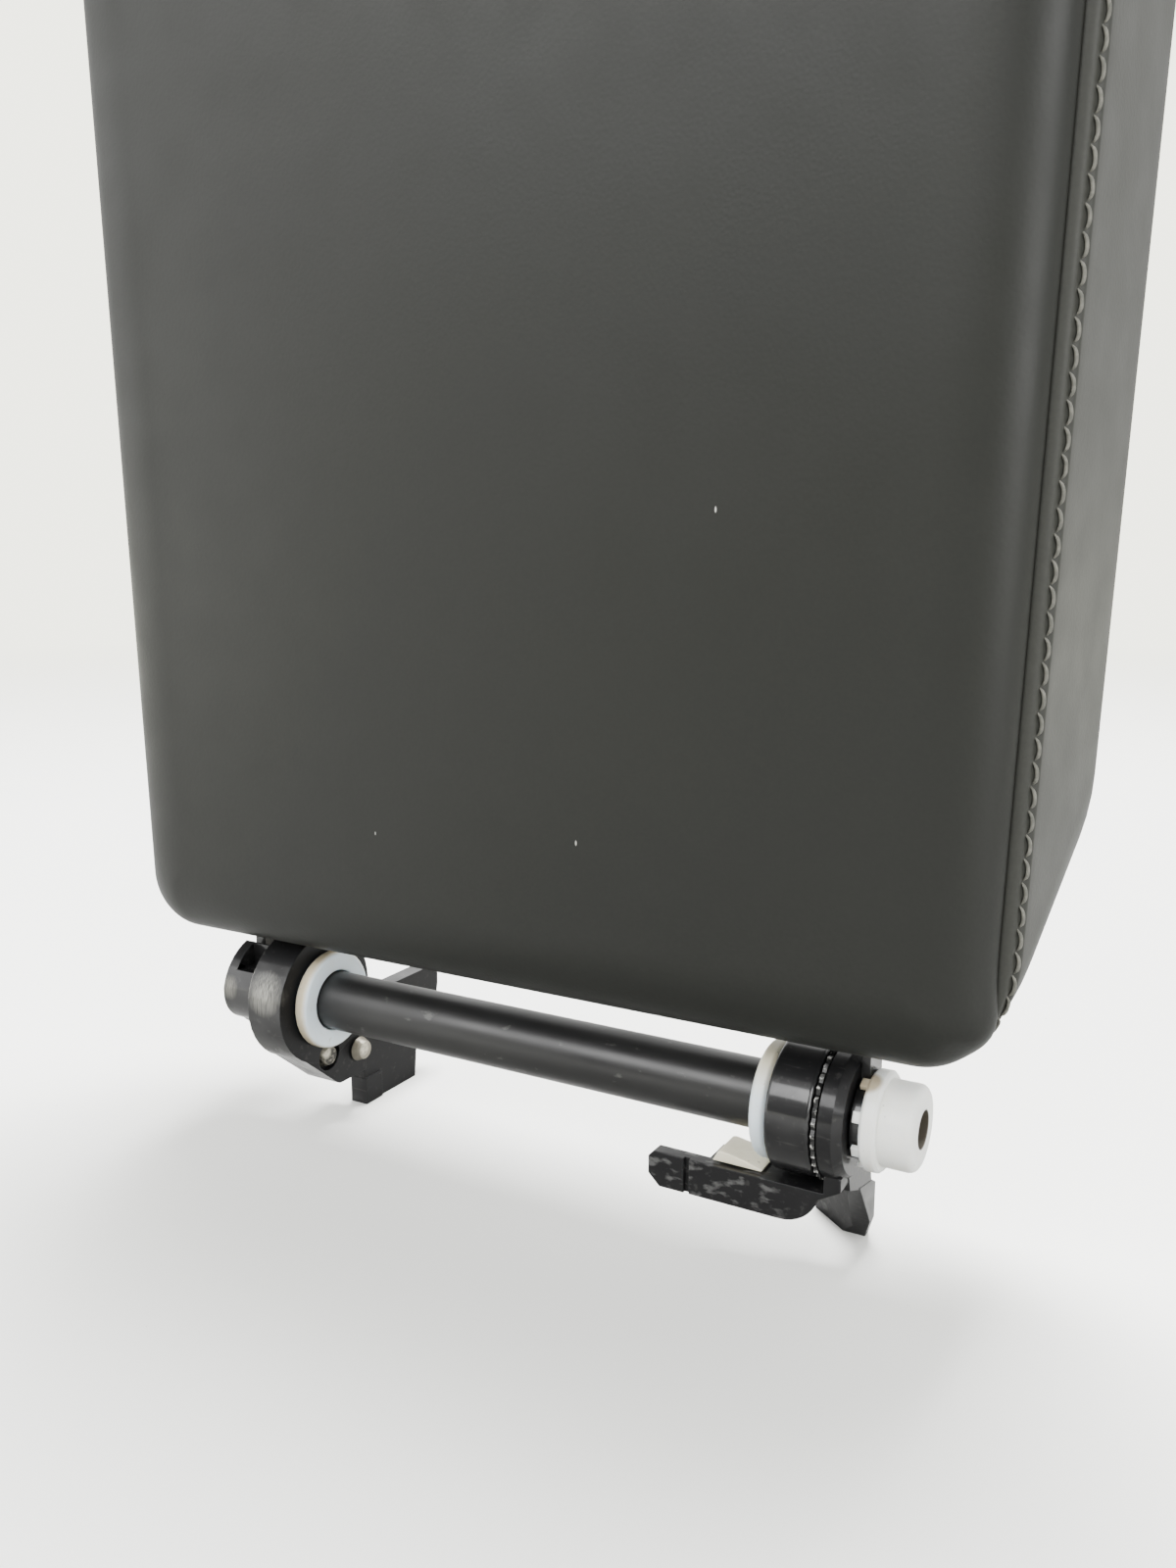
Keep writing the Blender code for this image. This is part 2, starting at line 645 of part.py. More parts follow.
def right_bracket():
    chamfer = RIGHT_BARREL_CHAMFER
    inner = ROD_RADIUS + 2 * RUN
    profile = [
        (RIGHT_BARREL_IN, RIGHT_BARREL_RADIUS),
        (RIGHT_BARREL_OUT - chamfer, RIGHT_BARREL_RADIUS),
        (RIGHT_BARREL_OUT, RIGHT_BARREL_RADIUS - chamfer),
        (RIGHT_BARREL_OUT, inner),
        (RIGHT_BARREL_IN, inner),
    ]
    bracket = finished("right_bracket", turned(profile), CAST_BLACK, BASE_AXIS)
    right = RIGHT_BARREL_OUT - chamfer / 4
    foot = -AXIS_HEIGHT
    clear = RING_RADIUS + 4 * RUN
    heel = (FOOT_BACK - HEEL_LEAN, foot + HEEL_RISE)
    calf = (FOOT_BACK - CALF_IN, foot + CALF_RISE)
    leg_back = (LEG_TOP_BACK, -clear - LEG_BACK_DROP)
    leg = [
        (LEG_TOP_FRONT, -clear - LEG_TOP_DROP),
        (FOOT_FRONT, foot),
        (FOOT_BACK, foot),
        heel,
        calf,
        leg_back,
    ]
    foot_block = bpy.data.objects.new("right_foot", side_outline(leg, FOOT_LEFT, right))
    slant = [
        (FOOT_LEFT - CUT_OVER, -clear),
        (right, -clear),
        (right - RIGHT_BARREL_WIDTH, FOOT_FRONT - CUT_OVER),
        (FOOT_LEFT, FOOT_FRONT + FOOT_SLANT * SLANT_SHARE),
        (FOOT_LEFT - CUT_OVER, FOOT_FRONT + FOOT_SLANT * SLANT_SHARE),
    ]
    slant_cutter = flat_outline(slant, foot - CUT_OVER, 0.0, Matrix.Identity(4))
    CUTTERS.objects.link(foot_block)
    foot_block.parent = bracket.parent
    foot_block.hide_render = True
    foot_block.display_type = "WIRE"
    boolean(foot_block, slant_cutter)
    join = bracket.modifiers.new("Foot", "BOOLEAN")
    join.operation = "UNION"
    join.object = foot_block
    neck_left = RIGHT_BARREL_IN + FIT / 2
    neck = [
        (NECK_FRONT, -NECK_TOP),
        (-LEG_TOP_FRONT, -clear),
        (LEG_TOP_FRONT, -clear - LEG_TOP_DROP - FIT),
        (FOOT_FRONT - SHIN_FRONT, foot + SHIN_RISE),
        (FOOT_FRONT + LEG_TOP_FRONT, foot + SHIN_RISE - SHIN_FRONT),
        (calf[0], calf[1] - FIT),
        (leg_back[0] - FIT, leg_back[1] + FIT),
        (NECK_BACK, -NECK_TOP),
    ]
    boolean(bracket, side_outline(neck, neck_left, right - FIT / 2), "UNION")
    lean = (FOOT_BACK - HEEL_EDGE) / HEEL_IN
    heel_slant = [
        (right + CUT_OVER, HEEL_EDGE - CUT_OVER * lean),
        (right + CUT_OVER, FOOT_BACK + CUT_OVER),
        (right - HEEL_IN - CUT_OVER / lean, FOOT_BACK + CUT_OVER),
    ]
    boolean(bracket, flat_outline(heel_slant, foot - CUT_OVER, foot + HEEL_TOP, Matrix.Identity(4)))
    steep = TOE_IN / TOE_RISE
    toe = [
        (right + CUT_OVER, foot + TOE_RISE + CUT_OVER / steep),
        (right - TOE_IN - CUT_OVER * steep, foot - CUT_OVER),
        (right + CUT_OVER, foot - CUT_OVER),
    ]
    boolean(bracket, front_outline(toe, 0.0, FOOT_BACK + CUT_OVER))
    boolean(bracket, lever_arm(right - FIT), "UNION")
    edges = bracket.modifiers[-1].object.modifiers.new("Edges", "BEVEL")
    edges.width = LEVER_EDGE
    edges.segments = 1
    edges.limit_method = "ANGLE"
    slim = block(
        (LEVER_TIP - CUT_OVER, PAD_LEFT - PAD_SLOPE),
        (LEVER_FRONT + LEVER_THICK, LEVER_BACK + CUT_OVER),
        (-LEVER_TOP - LEVER_DEPTH - CUT_OVER, -LEVER_TOP + CUT_OVER),
    )
    boolean(bracket, slim)
    groove_left = LEVER_TIP + LEVER_GROOVE
    groove = block(
        (groove_left, groove_left + LEVER_GROOVE_WIDTH),
        (LEVER_FRONT - CUT_OVER, LEVER_FRONT + LEVER_GROOVE_DEPTH),
        (-LEVER_TOP - LEVER_DEPTH - CUT_OVER, -LEVER_TOP + CUT_OVER),
    )
    boolean(bracket, groove)
    return bracket


def lever_arm(right):
    """Fixed arm below the tube, bent up into the right barrel."""
    low = -LEVER_TOP - LEVER_DEPTH
    inner = RIGHT_BARREL_IN + FIT
    soft = LEVER_DEPTH / 6
    points = [
        (LEVER_TIP, low + 2 * soft),
        (LEVER_TIP, -LEVER_TOP - soft),
        (LEVER_TIP + soft, -LEVER_TOP),
        (inner, -LEVER_TOP),
        (inner, -RIGHT_BARREL_RADIUS * LEVER_LAP),
        (right, -RIGHT_BARREL_RADIUS * LEVER_LAP),
    ]
    points.append((right, -LEVER_ROOT))
    centre = (right - LEVER_BEND_IN, low + LEVER_BEND)
    points += arc(centre, LEVER_BEND, LEVER_BEND_END, -90, 2 * EDGE_STEPS)
    points.append((LEVER_TIP + 2 * soft, low))
    return front_outline(points, LEVER_FRONT, LEVER_BACK)


def lever_pad():
    seat = -LEVER_TOP + FIT
    top = seat + PAD_HEIGHT
    outline = [
        (PAD_LEFT, seat),
        (PAD_RIGHT, seat),
        (PAD_RIGHT, seat + PAD_SLOPE / 2),
        ((PAD_LEFT + PAD_RIGHT) / 2, top - PAD_SLOPE / 2),
        (PAD_LEFT + PAD_HEIGHT, top),
        (PAD_LEFT + PAD_HEIGHT / 2, top - PAD_SLOPE / 4),
    ]
    return finished("lever_pad", front_outline(outline, PAD_FRONT, PAD_BACK), NYLON_CREAM, BASE_AXIS)


def thrust_washer():
    start = LEFT_BOSS_IN + FIT
    inner = ROD_RADIUS + 2 * RUN
    profile = [
        (start, THRUST_WASHER_RADIUS),
        (start + THRUST_WASHER_THICK, THRUST_WASHER_RADIUS),
        (start + THRUST_WASHER_THICK, inner),
        (start, inner),
    ]
    return finished("thrust_washer", turned(profile), STEEL, BASE_AXIS)


def arm_outline(radius):
    """Round end about the axis with a strap up to the lid's base plate, in (back, rise)."""
    start = 90 + math.degrees(math.asin(-ARM_FRONT / radius))
    points = arc((0, 0), radius, start, 360 + ARM_STRAP_TURN, ROUND)
    strap_back = points[-1][0]
    points += [
        (strap_back, ARM_TOP - strap_back),
        (strap_back * STRAP_TAPER, ARM_TOP),
        (ARM_FRONT, ARM_TOP),
    ]
    return points


def lid_arm(name, inner, thick, side, radius):
    """Plate across the hinge axis, with a flange turned outward under the lid's base plate."""
    outer = inner + side * thick
    low, high = sorted((inner, outer))
    arm = finished(name, side_outline(arm_outline(radius), low, high), CAST_BLACK, LID_AXIS)
    flange_x = sorted((inner + side * thick / 2, inner + side * (thick + FLANGE_REACH)))
    flange = block(flange_x, (ARM_FRONT, ARM_FRONT + thick), (FLANGE_FOOT, ARM_TOP))
    boolean(arm, flange, "UNION")
    hole = cylinder(ROD_RADIUS + RUN, low - CUT_OVER, high + CUT_OVER, segments=SMALL_ROUND)
    boolean(arm, hole)
    for rise in arm_screw_rises():
        x = arm_screw_x(inner, thick, side)
        front, back = ARM_FRONT - CUT_OVER, ARM_FRONT + thick + CUT_OVER
        boolean(arm, pillar(ARM_SCREW_RADIUS + RUN, front, back, x, rise))
    return arm


def arm_screw_rises():
    middle = (FLANGE_FOOT + ARM_TOP) / 2
    return (middle - ARM_SCREW_SPACING / 2, middle + ARM_SCREW_SPACING / 2)


def arm_screw_x(inner, thick, side):
    return inner + side * (thick + FLANGE_REACH / 2)


def left_arm():
    arm = lid_arm("left_arm", LEFT_ARM_IN, LEFT_ARM_THICK, -1, LEFT_ARM_RADIUS)
    boss = cylinder(LEFT_BOSS_RADIUS, LEFT_ARM_IN - LEFT_ARM_THICK / 2, LEFT_BOSS_IN)
    boolean(arm, boss, "UNION")
    steps = 2 * EDGE_STEPS
    nose = arc((0, 0), NOSE_RADIUS, NOSE_START, NOSE_END, steps)
    nose += arc((-NOSE_FRONT, NOSE_RISE), NOSE_ROUND, 180 - EDGE_STEPS, 260, steps)
    nose += [(0.0, -NOSE_ROUND), (0.0, NOSE_ROUND), (-NOSE_FRONT / 2, NOSE_NECK)]
    boolean(arm, side_outline(nose, LEFT_ARM_OUT + FIT / 2, LEFT_BOSS_IN - FIT / 2), "UNION")
    reach = NOSE_RADIUS + CUT_OVER
    notch = block((LEFT_ARM_IN, LEFT_BOSS_IN + CUT_OVER), (-reach, -NOSE_FRONT), (NOTCH_RISE, reach))
    boolean(arm, notch)
    bore_ends = (LEFT_ARM_OUT - CUT_OVER, LEFT_BOSS_IN + CUT_OVER)
    boolean(arm, cylinder(ROD_RADIUS + RUN, *bore_ends, segments=SMALL_ROUND))
    return arm


def arm_screw(name, inner, thick, side, rise):
    """Screw from inside the bay through the flange into the lid's base plate."""
    seat = ARM_FRONT + thick + FIT
    x = arm_screw_x(inner, thick, side)
    head = pillar(ARM_SCREW_HEAD, seat, seat + ARM_SCREW_HEAD_THICK, x, rise)
    screw = finished(name, head, STEEL, LID_AXIS)
    boolean(screw, pillar(ARM_SCREW_RADIUS, BASE_FRONT + FIT, seat + FIT, x, rise), "UNION")
    return screw


def pivot_rod():
    head_out = ROD_HEAD_IN - ROD_HEAD_THICK
    end = NUT_OUT - NUT_LIP - FIT
    chamfer = ROD_RADIUS / 8
    profile = [
        (head_out + HEX_DEPTH, 0.0),
        (head_out + HEX_DEPTH, HEX_RADIUS),
        (head_out, HEX_RADIUS),
        (head_out, ROD_HEAD_RADIUS - chamfer),
        (head_out + chamfer, ROD_HEAD_RADIUS),
        (ROD_HEAD_IN, ROD_HEAD_RADIUS),
        (ROD_HEAD_IN, ROD_RADIUS),
        (end - chamfer, ROD_RADIUS),
        (end, ROD_RADIUS - chamfer),
        (end, 0.0),
    ]
    return finished("pivot_rod", turned(profile, SMALL_ROUND), STEEL, LID_AXIS)


def disc_spring():
    inner = ROD_RADIUS + 2 * RUN
    profile = [
        (SPRING_OUT, inner),
        (SPRING_OUT + SPRING_THICK, inner),
        (SPRING_OUT + SPRING_THICK + SPRING_CONE, SPRING_RADIUS),
        (SPRING_OUT + SPRING_CONE, SPRING_RADIUS),
    ]
    return finished("disc_spring", turned(profile, SMALL_ROUND), STEEL, LID_AXIS)


def friction_nut():
    bore = ROD_RADIUS + RUN
    step = NUT_OUT - NUT_LIP
    edge = NUT_FLANGE_THICK / 6
    profile = [
        (NUT_IN, bore),
        (NUT_IN, NUT_FLANGE_RADIUS - edge),
        (NUT_IN + edge, NUT_FLANGE_RADIUS),
        (NUT_FLANGE_OUT - edge, NUT_FLANGE_RADIUS),
        (NUT_FLANGE_OUT, NUT_FLANGE_RADIUS - edge),
        (NUT_FLANGE_OUT, NUT_CAP_RADIUS),
    ]
    dome = (NUT_OUT - NUT_DOME, NUT_CAP_RADIUS - NUT_DOME)
    profile += arc(dome, NUT_DOME, 90, 0, EDGE_STEPS)
    profile += [(NUT_OUT, NUT_HOLE_RADIUS), (step, NUT_HOLE_RADIUS), (step, bore)]
    nut = finished("friction_nut", turned(profile), NYLON_WHITE, LID_AXIS)
    tangs = bmesh.new()
    for index in range(TANG_COUNT):
        angle = (index + 0.5) * 360 / TANG_COUNT
        if ARM_STRAP_TURN < angle < 90:
            continue
        inner = RIGHT_ARM_RADIUS + FIT
        tang = sector(angle, inner, NUT_FLANGE_RADIUS - edge, TANG_SIZE, NUT_IN - TANG_LENGTH, NUT_IN + edge)
        piece = bpy.data.meshes.new("tang")
        tang.to_mesh(piece)
        tang.free()
        tangs.from_mesh(piece)
    boolean(nut, mesh_of(tangs, "tangs"), "UNION")
    return nut


def top_cover():
    outer = roll_sections(0.0)
    inner = roll_sections(LEATHER)
    return finished("top_cover", lofted(outer + inner[::-1]), LEATHER_TOP, LID_AXIS)


def foam_pad():
    sections = roll_sections(LEATHER + FIT)
    sections.append((RIM_FRONT - FIT, sections[-1][1]))
    sections.append((RIM_FRONT - FIT, RIM_OFFSET - FIT))
    sections.append((BASE_FRONT - FIT, RIM_OFFSET - FIT))
    return finished("foam_pad", lofted(sections), FOAM, LID_AXIS)


def hinge_cut(depth, rise):
    """The opening for the hinge in the lid's end, from a depth to past the underside."""
    return block(
        (-BAY_HALF_WIDTH, BAY_HALF_WIDTH),
        (depth, LID_BACK + CUT_OVER),
        (LID_END - SHOULDER - END_FLARE - CUT_OVER, rise),
    )


def side_cover():
    quarter = [math.radians(90 * i / EDGE_STEPS) for i in range(EDGE_STEPS + 1)]
    outer = [(SIDE_TOP, -LEATHER)]
    outer += [(SIDE_TOP + SHOULDER * (1 - math.cos(a)), SHOULDER * math.sin(a)) for a in quarter]
    outer += [
        (LID_BACK - HEM_ROUND * (1 - math.sin(a)), SHOULDER - HEM_ROUND * (1 - math.cos(a)))
        for a in quarter
    ]
    outer.append((LID_BACK, SHOULDER - HEM))
    inner = [
        (LID_BACK - LEATHER, SHOULDER - HEM),
        (LID_BACK - LEATHER, SHOULDER - HEM_ROUND),
        (LID_BACK - HEM_ROUND, SHOULDER - LEATHER),
        (SIDE_TOP + SHOULDER, SHOULDER - LEATHER),
        (SIDE_TOP + LEATHER, 0.0),
        (SIDE_TOP + LEATHER, -LEATHER),
    ]
    cover = finished("side_cover", lofted(outer + inner, hollow=True), LEATHER_SIDE, LID_AXIS)
    boolean(cover, hinge_cut(SIDE_TOP - CUT_OVER, LID_END + SHOULDER + BASE_WALL))
    return cover


def panel_screw_places():
    side = LID_HALF_WIDTH - BOSS_INSET
    low = PANEL_FOOT + BOSS_INSET / 2
    high = LID_TOP - BOSS_INSET
    return [(x, z) for z in (low, high) for x in (-side, side)]


def lid_base():
    outer = [
        (BASE_FRONT, RIM_OFFSET),
        (RIM_FRONT, RIM_OFFSET),
        (RIM_FRONT, -FIT),
        (SIDE_TOP + SHOULDER + FIT, WALL_OFFSET),
        (BASE_RIM - HEM_ROUND, WALL_OFFSET),
        (BASE_RIM, SHOULDER - HEM_ROUND - FIT),
    ]
    inner = [
        (BASE_RIM, WALL_OFFSET - BASE_WALL),
        (BASE_PLATE_BACK, WALL_OFFSET - BASE_WALL),
    ]
    base = finished("lid_base", lofted(outer + inner), MOULDED, LID_AXIS)
    reach = WALL_OFFSET - BASE_WALL / 2
    front = BASE_PLATE_BACK - BASE_PLATE / 2
    depths = [front + (BASE_RIM - front) * i / RIB_STEPS for i in range(RIB_STEPS + 1)]
    rib = [(half_width_at(depth, reach, BAY_TOP), depth) for depth in depths]
    plan = rib + [(-x, depth) for x, depth in rib[::-1]]
    boolean(base, flat_outline(plan, BAY_TOP, BAY_TOP + BASE_WALL, Matrix.Identity(4)), "UNION")
    for x, z in panel_screw_places():
        boolean(base, pillar(BOSS_RADIUS, front, PANEL_FRONT - FIT, x, z), "UNION")
        bottom = LID_BACK - PANEL_SCREW_LENGTH
        boolean(base, pillar(PANEL_SCREW_RADIUS + RUN, bottom, LID_BACK, x, z))
    boolean(base, hinge_cut(BASE_PLATE_BACK, LID_END + SHOULDER + BASE_WALL))
    boolean(base, hinge_cut(RIM_FRONT - CUT_OVER, max(LEFT_BARREL_RADIUS + BARREL_GAP, LID_END + FIT)))
    arms = ((LEFT_ARM_IN, LEFT_ARM_THICK, -1), (RIGHT_ARM_IN, RIGHT_ARM_THICK, 1))
    for inner_x, thick, side in arms:
        for rise in arm_screw_rises():
            x = arm_screw_x(inner_x, thick, side)
            hole = pillar(ARM_SCREW_RADIUS + RUN, BASE_FRONT - CUT_OVER, BASE_PLATE_BACK + CUT_OVER, x, rise)
            boolean(base, hole)
    return base


def bumper_places():
    z = LID_TOP - BUMPER_INSET
    x = LID_HALF_WIDTH - 2 * BUMPER_INSET
    return [(-x, z), (x, z)]


def bottom_panel():
    offset = SHOULDER - HEM - FIT
    panel = finished(
        "bottom_panel", lofted([(PANEL_FRONT, offset), (LID_BACK, offset)]), MOULDED, LID_AXIS
    )
    wide = (LID_HALF_WIDTH + FLARE + SHOULDER) * taper_at(LID_TOP)
    below = block((-wide, wide), (0.0, LID_BACK + CUT_OVER), (0.0, PANEL_FOOT))
    boolean(panel, below)
    depths = (PANEL_FRONT - CUT_OVER, LID_BACK + CUT_OVER)
    for x, z in panel_screw_places():
        boolean(panel, pillar(PANEL_SCREW_RADIUS + RUN, *depths, x, z))
    for x, z in bumper_places():
        boolean(panel, pillar(BUMPER_STEM + RUN, *depths, x, z))
    return panel


def panel_screw(name, x, z):
    seat = LID_BACK + FIT
    head = pillar(PANEL_SCREW_HEAD, seat, seat + PANEL_SCREW_HEAD_THICK, x, z)
    screw = finished(name, head, STEEL, LID_AXIS)
    boolean(screw, pillar(PANEL_SCREW_RADIUS, seat - PANEL_SCREW_LENGTH, seat + FIT, x, z), "UNION")
    return screw


def bumper(name, x, z):
    seat = LID_BACK + FIT
    pad = finished(name, pillar(BUMPER_RADIUS, seat, seat + BUMPER_HEIGHT, x, z), RUBBER, LID_AXIS)
    stem = pillar(BUMPER_STEM, PANEL_FRONT - BUMPER_STEM, seat + FIT, x, z)
    boolean(pad, stem, "UNION")
    return pad


left_bracket()
bracket_screw("bracket_screw_front", SUNK_SCREW_BACK, SUNK_SCREW_DROP, SUNK_DEPTH)
bracket_screw("bracket_screw_back", PAN_SCREW_BACK, PAN_SCREW_DROP, 0.0)
bush("left_bush", -1)
bush("right_bush", 1)
hinge_tube()
ratchet_ring()
serrated_washer()
right_bracket()
lever_pad()
thrust_washer()

left_arm()
lid_arm("right_arm", RIGHT_ARM_IN, RIGHT_ARM_THICK, 1, RIGHT_ARM_RADIUS)
for end, start, plate, outward in (
    ("left", LEFT_ARM_IN, LEFT_ARM_THICK, -1),
    ("right", RIGHT_ARM_IN, RIGHT_ARM_THICK, 1),
):
    for place, height in zip(("lower", "upper"), arm_screw_rises()):
        arm_screw(f"{end}_arm_screw_{place}", start, plate, outward, height)
pivot_rod()
disc_spring()
friction_nut()

lid_base()
foam_pad()
top_cover()
side_cover()
bottom_panel()
for number, (across, up) in enumerate(panel_screw_places(), 1):
    panel_screw(f"panel_screw_{number}", across, up)
for end, (across, up) in zip(("left", "right"), bumper_places()):
    bumper(f"bumper_{end}", across, up)
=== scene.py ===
"""Looks of the center console armrest: leather, stitching, hinge finish, floor, light and camera.

Metres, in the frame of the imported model. Hinge coordinates are (x, back, rise) from the middle of
the hinge axis: x to the viewer's right, back away from the viewer, and rise upward.
"""

import math

import bmesh
import bpy
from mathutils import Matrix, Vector, noise


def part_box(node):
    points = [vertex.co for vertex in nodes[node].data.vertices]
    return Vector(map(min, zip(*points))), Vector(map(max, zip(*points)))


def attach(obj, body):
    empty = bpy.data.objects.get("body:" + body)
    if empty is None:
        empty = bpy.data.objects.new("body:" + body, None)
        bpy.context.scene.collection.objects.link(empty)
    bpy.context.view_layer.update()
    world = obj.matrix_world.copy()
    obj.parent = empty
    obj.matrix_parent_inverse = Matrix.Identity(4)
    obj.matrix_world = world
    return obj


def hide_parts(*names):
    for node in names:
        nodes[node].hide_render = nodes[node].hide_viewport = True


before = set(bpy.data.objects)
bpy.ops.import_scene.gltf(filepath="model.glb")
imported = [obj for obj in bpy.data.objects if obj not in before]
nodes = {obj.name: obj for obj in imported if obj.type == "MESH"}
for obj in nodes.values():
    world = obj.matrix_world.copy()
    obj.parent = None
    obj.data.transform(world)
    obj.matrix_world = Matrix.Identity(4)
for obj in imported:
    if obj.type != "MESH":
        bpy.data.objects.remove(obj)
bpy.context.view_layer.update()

# Frame of the hinge, and the boxes that other sizes are taken from
tube_low, tube_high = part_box("hinge_tube")
AXIS = Vector((0.0, (tube_low.y + tube_high.y) / 2, (tube_low.z + tube_high.z) / 2))
cover_low, cover_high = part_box("top_cover")
side_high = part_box("side_cover")[1]
foam_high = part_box("foam_pad")[1]
ring_low, ring_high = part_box("ratchet_ring")
RING_RADIUS = (ring_high.z - ring_low.z) / 2

# Lid, with the sizes of the part's source
LID_TAPER = 0.083
CORNER_RADIUS = 0.0130
CORNER_FLARE = 0.0360
FLARE = 0.0040
END_FLARE = 0.0015
END_SHARE = 0.2
CROWN = 0.0015
SEAM_DROP = 0.00741       # from the flat of the cushion back to the seam
ROLL_TURN = math.radians(75)
SEAM_GAP = 0.0008
SHOULDER = 0.0030
LEATHER = 0.0015
HEM = 0.0055
HEM_ROUND = 0.0030
RIM_INSET = 0.0057        # where the foam goes back inside the rim of the base
BAY_HALF_WIDTH = 0.0950
BAY_LIP = 0.0060          # side cover is cut away up to this above the hinge end
CUT_OVER = 0.0040         # how far a cutter reaches past what it cuts
FIT = 0.0003

LID_END = cover_low.z - AXIS.z
LID_TOP = cover_high.z - AXIS.z
LID_MIDDLE = (LID_END + LID_TOP) / 2
LID_FRONT = cover_low.y - AXIS.y + CROWN
LID_BACK = side_high.y - AXIS.y
FOAM_BACK = foam_high.y - AXIS.y
SEAM_DEPTH = LID_FRONT + SEAM_DROP
SIDE_TOP = SEAM_DEPTH + SEAM_GAP
RIM_FRONT = SIDE_TOP + LEATHER

# Cushion's rolled edge: tight at the seam, easing out into the flat
ROLL_TIGHT = 0.00645
ROLL_EASE = 0.0317
ROLL_STEPS = 28
PANEL_STEPS = 40
PANEL_SPREAD = 1.25       # packs the panel's rings toward its edge
SWELL = 0.00012           # unevenness of the leather over its foam
SWELL_SIZE = 0.055
CUSHION_STEPS = (150, 100, 18)
SIDE_STEPS = (250, 170, 20)
GROOVE = ((0.0004, -0.0008), (0.0001, -0.0002))  # behind the seam, and outward: the leather turning in
GROOVE_START = 0.0009

# Seam stitches on the shoulder of the side cover
STITCH_PITCH = 0.0041
STITCH_LENGTH = 0.0039
STITCH_RADIUS = 0.00032
STITCH_BOW = 0.00042      # how far the middle of a stitch curves away from the seam
STITCH_TURN = math.radians(58)
STITCH_SLANT = 0.00022
STITCH_DIP = 0.00060      # how far its ends go down into the needle holes
STITCH_PROUD = 0.9        # its middle's height over the leather, in thread radii
STITCH_TAPER = 0.4        # share of its thickness that it loses at the holes
SMALL_TURN = 0.1          # step back over the shoulder that gives the way the leather faces
STITCH_SIDES = 8
STITCH_RINGS = 9
FRONTWARD = 0.05          # outward is to the side and a little to the front
STITCH_SUNK = 0.6         # share of the channel's depth at which the row lies
HOLE_DEPTH = 0.45         # share of the channel's depth that only the needle holes have
CHANNEL_DEPTH = 0.00060
CHANNEL_HALF = 0.0008
SHOULDER_STEPS = 18
HEM_STEPS = 8
WALL_STEPS = 16
CUT_EDGE = 0.8            # where the side cover's cut edge lies in the groove, in leather thicknesses
CUT_EDGE_GAP = 0.0002
TUCK_START = 0.0220       # above the hinge end, where the shoulder starts to slip behind the cushion
TUCK_END = 0.0080
TUCK_DEPTH = 0.0120       # behind the seam, where it has its full width again
TUCK_SHARE = 0.45         # share of its width that it keeps at the corner

# Right corner of the cushion's hinge end, bulging over the seam above a small dent:
# place, reach, and depth along the inward direction
CORNER_MOVES = (
    ((0.1010, -0.0150, 0.0275), 0.0065, -0.0013),
    ((0.0962, -0.0165, 0.0222), 0.0034, 0.0008),
)
CORNER_INWARD = Vector((-0.70, 0.0, 0.71))

# Camera at the photograph's place
CAMERA_PLACE = Vector((0.14235, -0.22524, 0.10680))
CAMERA_HEADING = math.radians(29.65)
CAMERA_PITCH = math.radians(-10.30)
FOCAL_PIXELS = 1292
IMAGE_HEIGHT = 1600
SENSOR = 36.0
CLIP_START = 0.01

# Surround and light
SURROUND = (1.0, 1.0, 0.86, 1.0)
SURROUND_STRENGTH = 3.9
FLOOR_RADIUS = 6.0
FLOOR_SIDES = 96
FLOOR_FADE = (0.55, 1.9)  # distance over which the floor blends into the surround
FLOOR_BOUNCE = (0.26, 0.26, 0.25)  # the floor's colour as it lights the object
FLOOR_GLEAM = (0.36, 0.36, 0.35)  # and as it mirrors in glossy pieces
ROOM_DARK = 0.12          # room toward the photographer, front right and low
ROOM_BRIGHT = 1.8         # room behind the object
ROOM_TOWARD = Vector((-0.30, 0.75, 0.60))
ROOM_BLEND = 0.75         # how gradually the room changes from dark to bright
ROOM_TINT = (1.0, 1.0, 0.985, 1.0)
LID_CENTRE = (0.0, 0.0, 0.12)

# Softboxes: name, place, target, size, watts
SOFTBOXES = (
    ("overhead", (-0.1, 0.50, 2.0), (0.0, 0.05, 0.0), (0.9, 0.7), 185.0),
    ("left_window", (-1.55, -1.0, 0.34), LID_CENTRE, (1.2, 1.5), 14.0),
    ("high_window", (-0.30, -1.35, 1.05), (0.0, 0.0, 0.28), (1.6, 0.6), 32.0),
    ("right_window", (1.30, -0.70, 0.62), (0.05, 0.0, 0.22), (0.8, 0.9), 22.0),
)


def at(x, back, rise):
    """A point of hinge coordinates in the frame."""
    return AXIS + Vector((x, back, rise))


# Leather: grain sizes, and specks of lint as place and size
PEBBLE = 0.0008
PEBBLE_TINT = 0.0007
LINT_PALE = (0.50, 0.50, 0.46)
LINT_STRETCH = (1.0, 0.12, 0.35)
LINT = (
    (at(0.0514, -0.0213, 0.1143), 0.00022),
    (at(0.0231, -0.0213, 0.0522), 0.00024),
    (at(-0.0260, -0.0213, 0.0487), 0.00020),
)

# Worn patches of the castings, each also a painted highlight: place, full wear within, none beyond,
# colour, strength
BARREL_WEAR_AND_HIGHLIGHT = ((at(-0.0650, -0.0150, 0.0045), 0.0012, 0.0058, (0.55, 0.54, 0.47), 0.60),)
NOSE_WEAR_AND_HIGHLIGHT = ((at(-0.0785, -0.0115, 0.0030), 0.0008, 0.0035, (0.60, 0.58, 0.48), 0.6),)
LEVER_SCUFFED = 0.060     # scuffs fade out where the lever bends up
LEVER_CLEAN = 0.066
TOOTH_GLINT_DEPTH = 0.0003       # how far down the teeth of the serrated washer are painted bright as glints
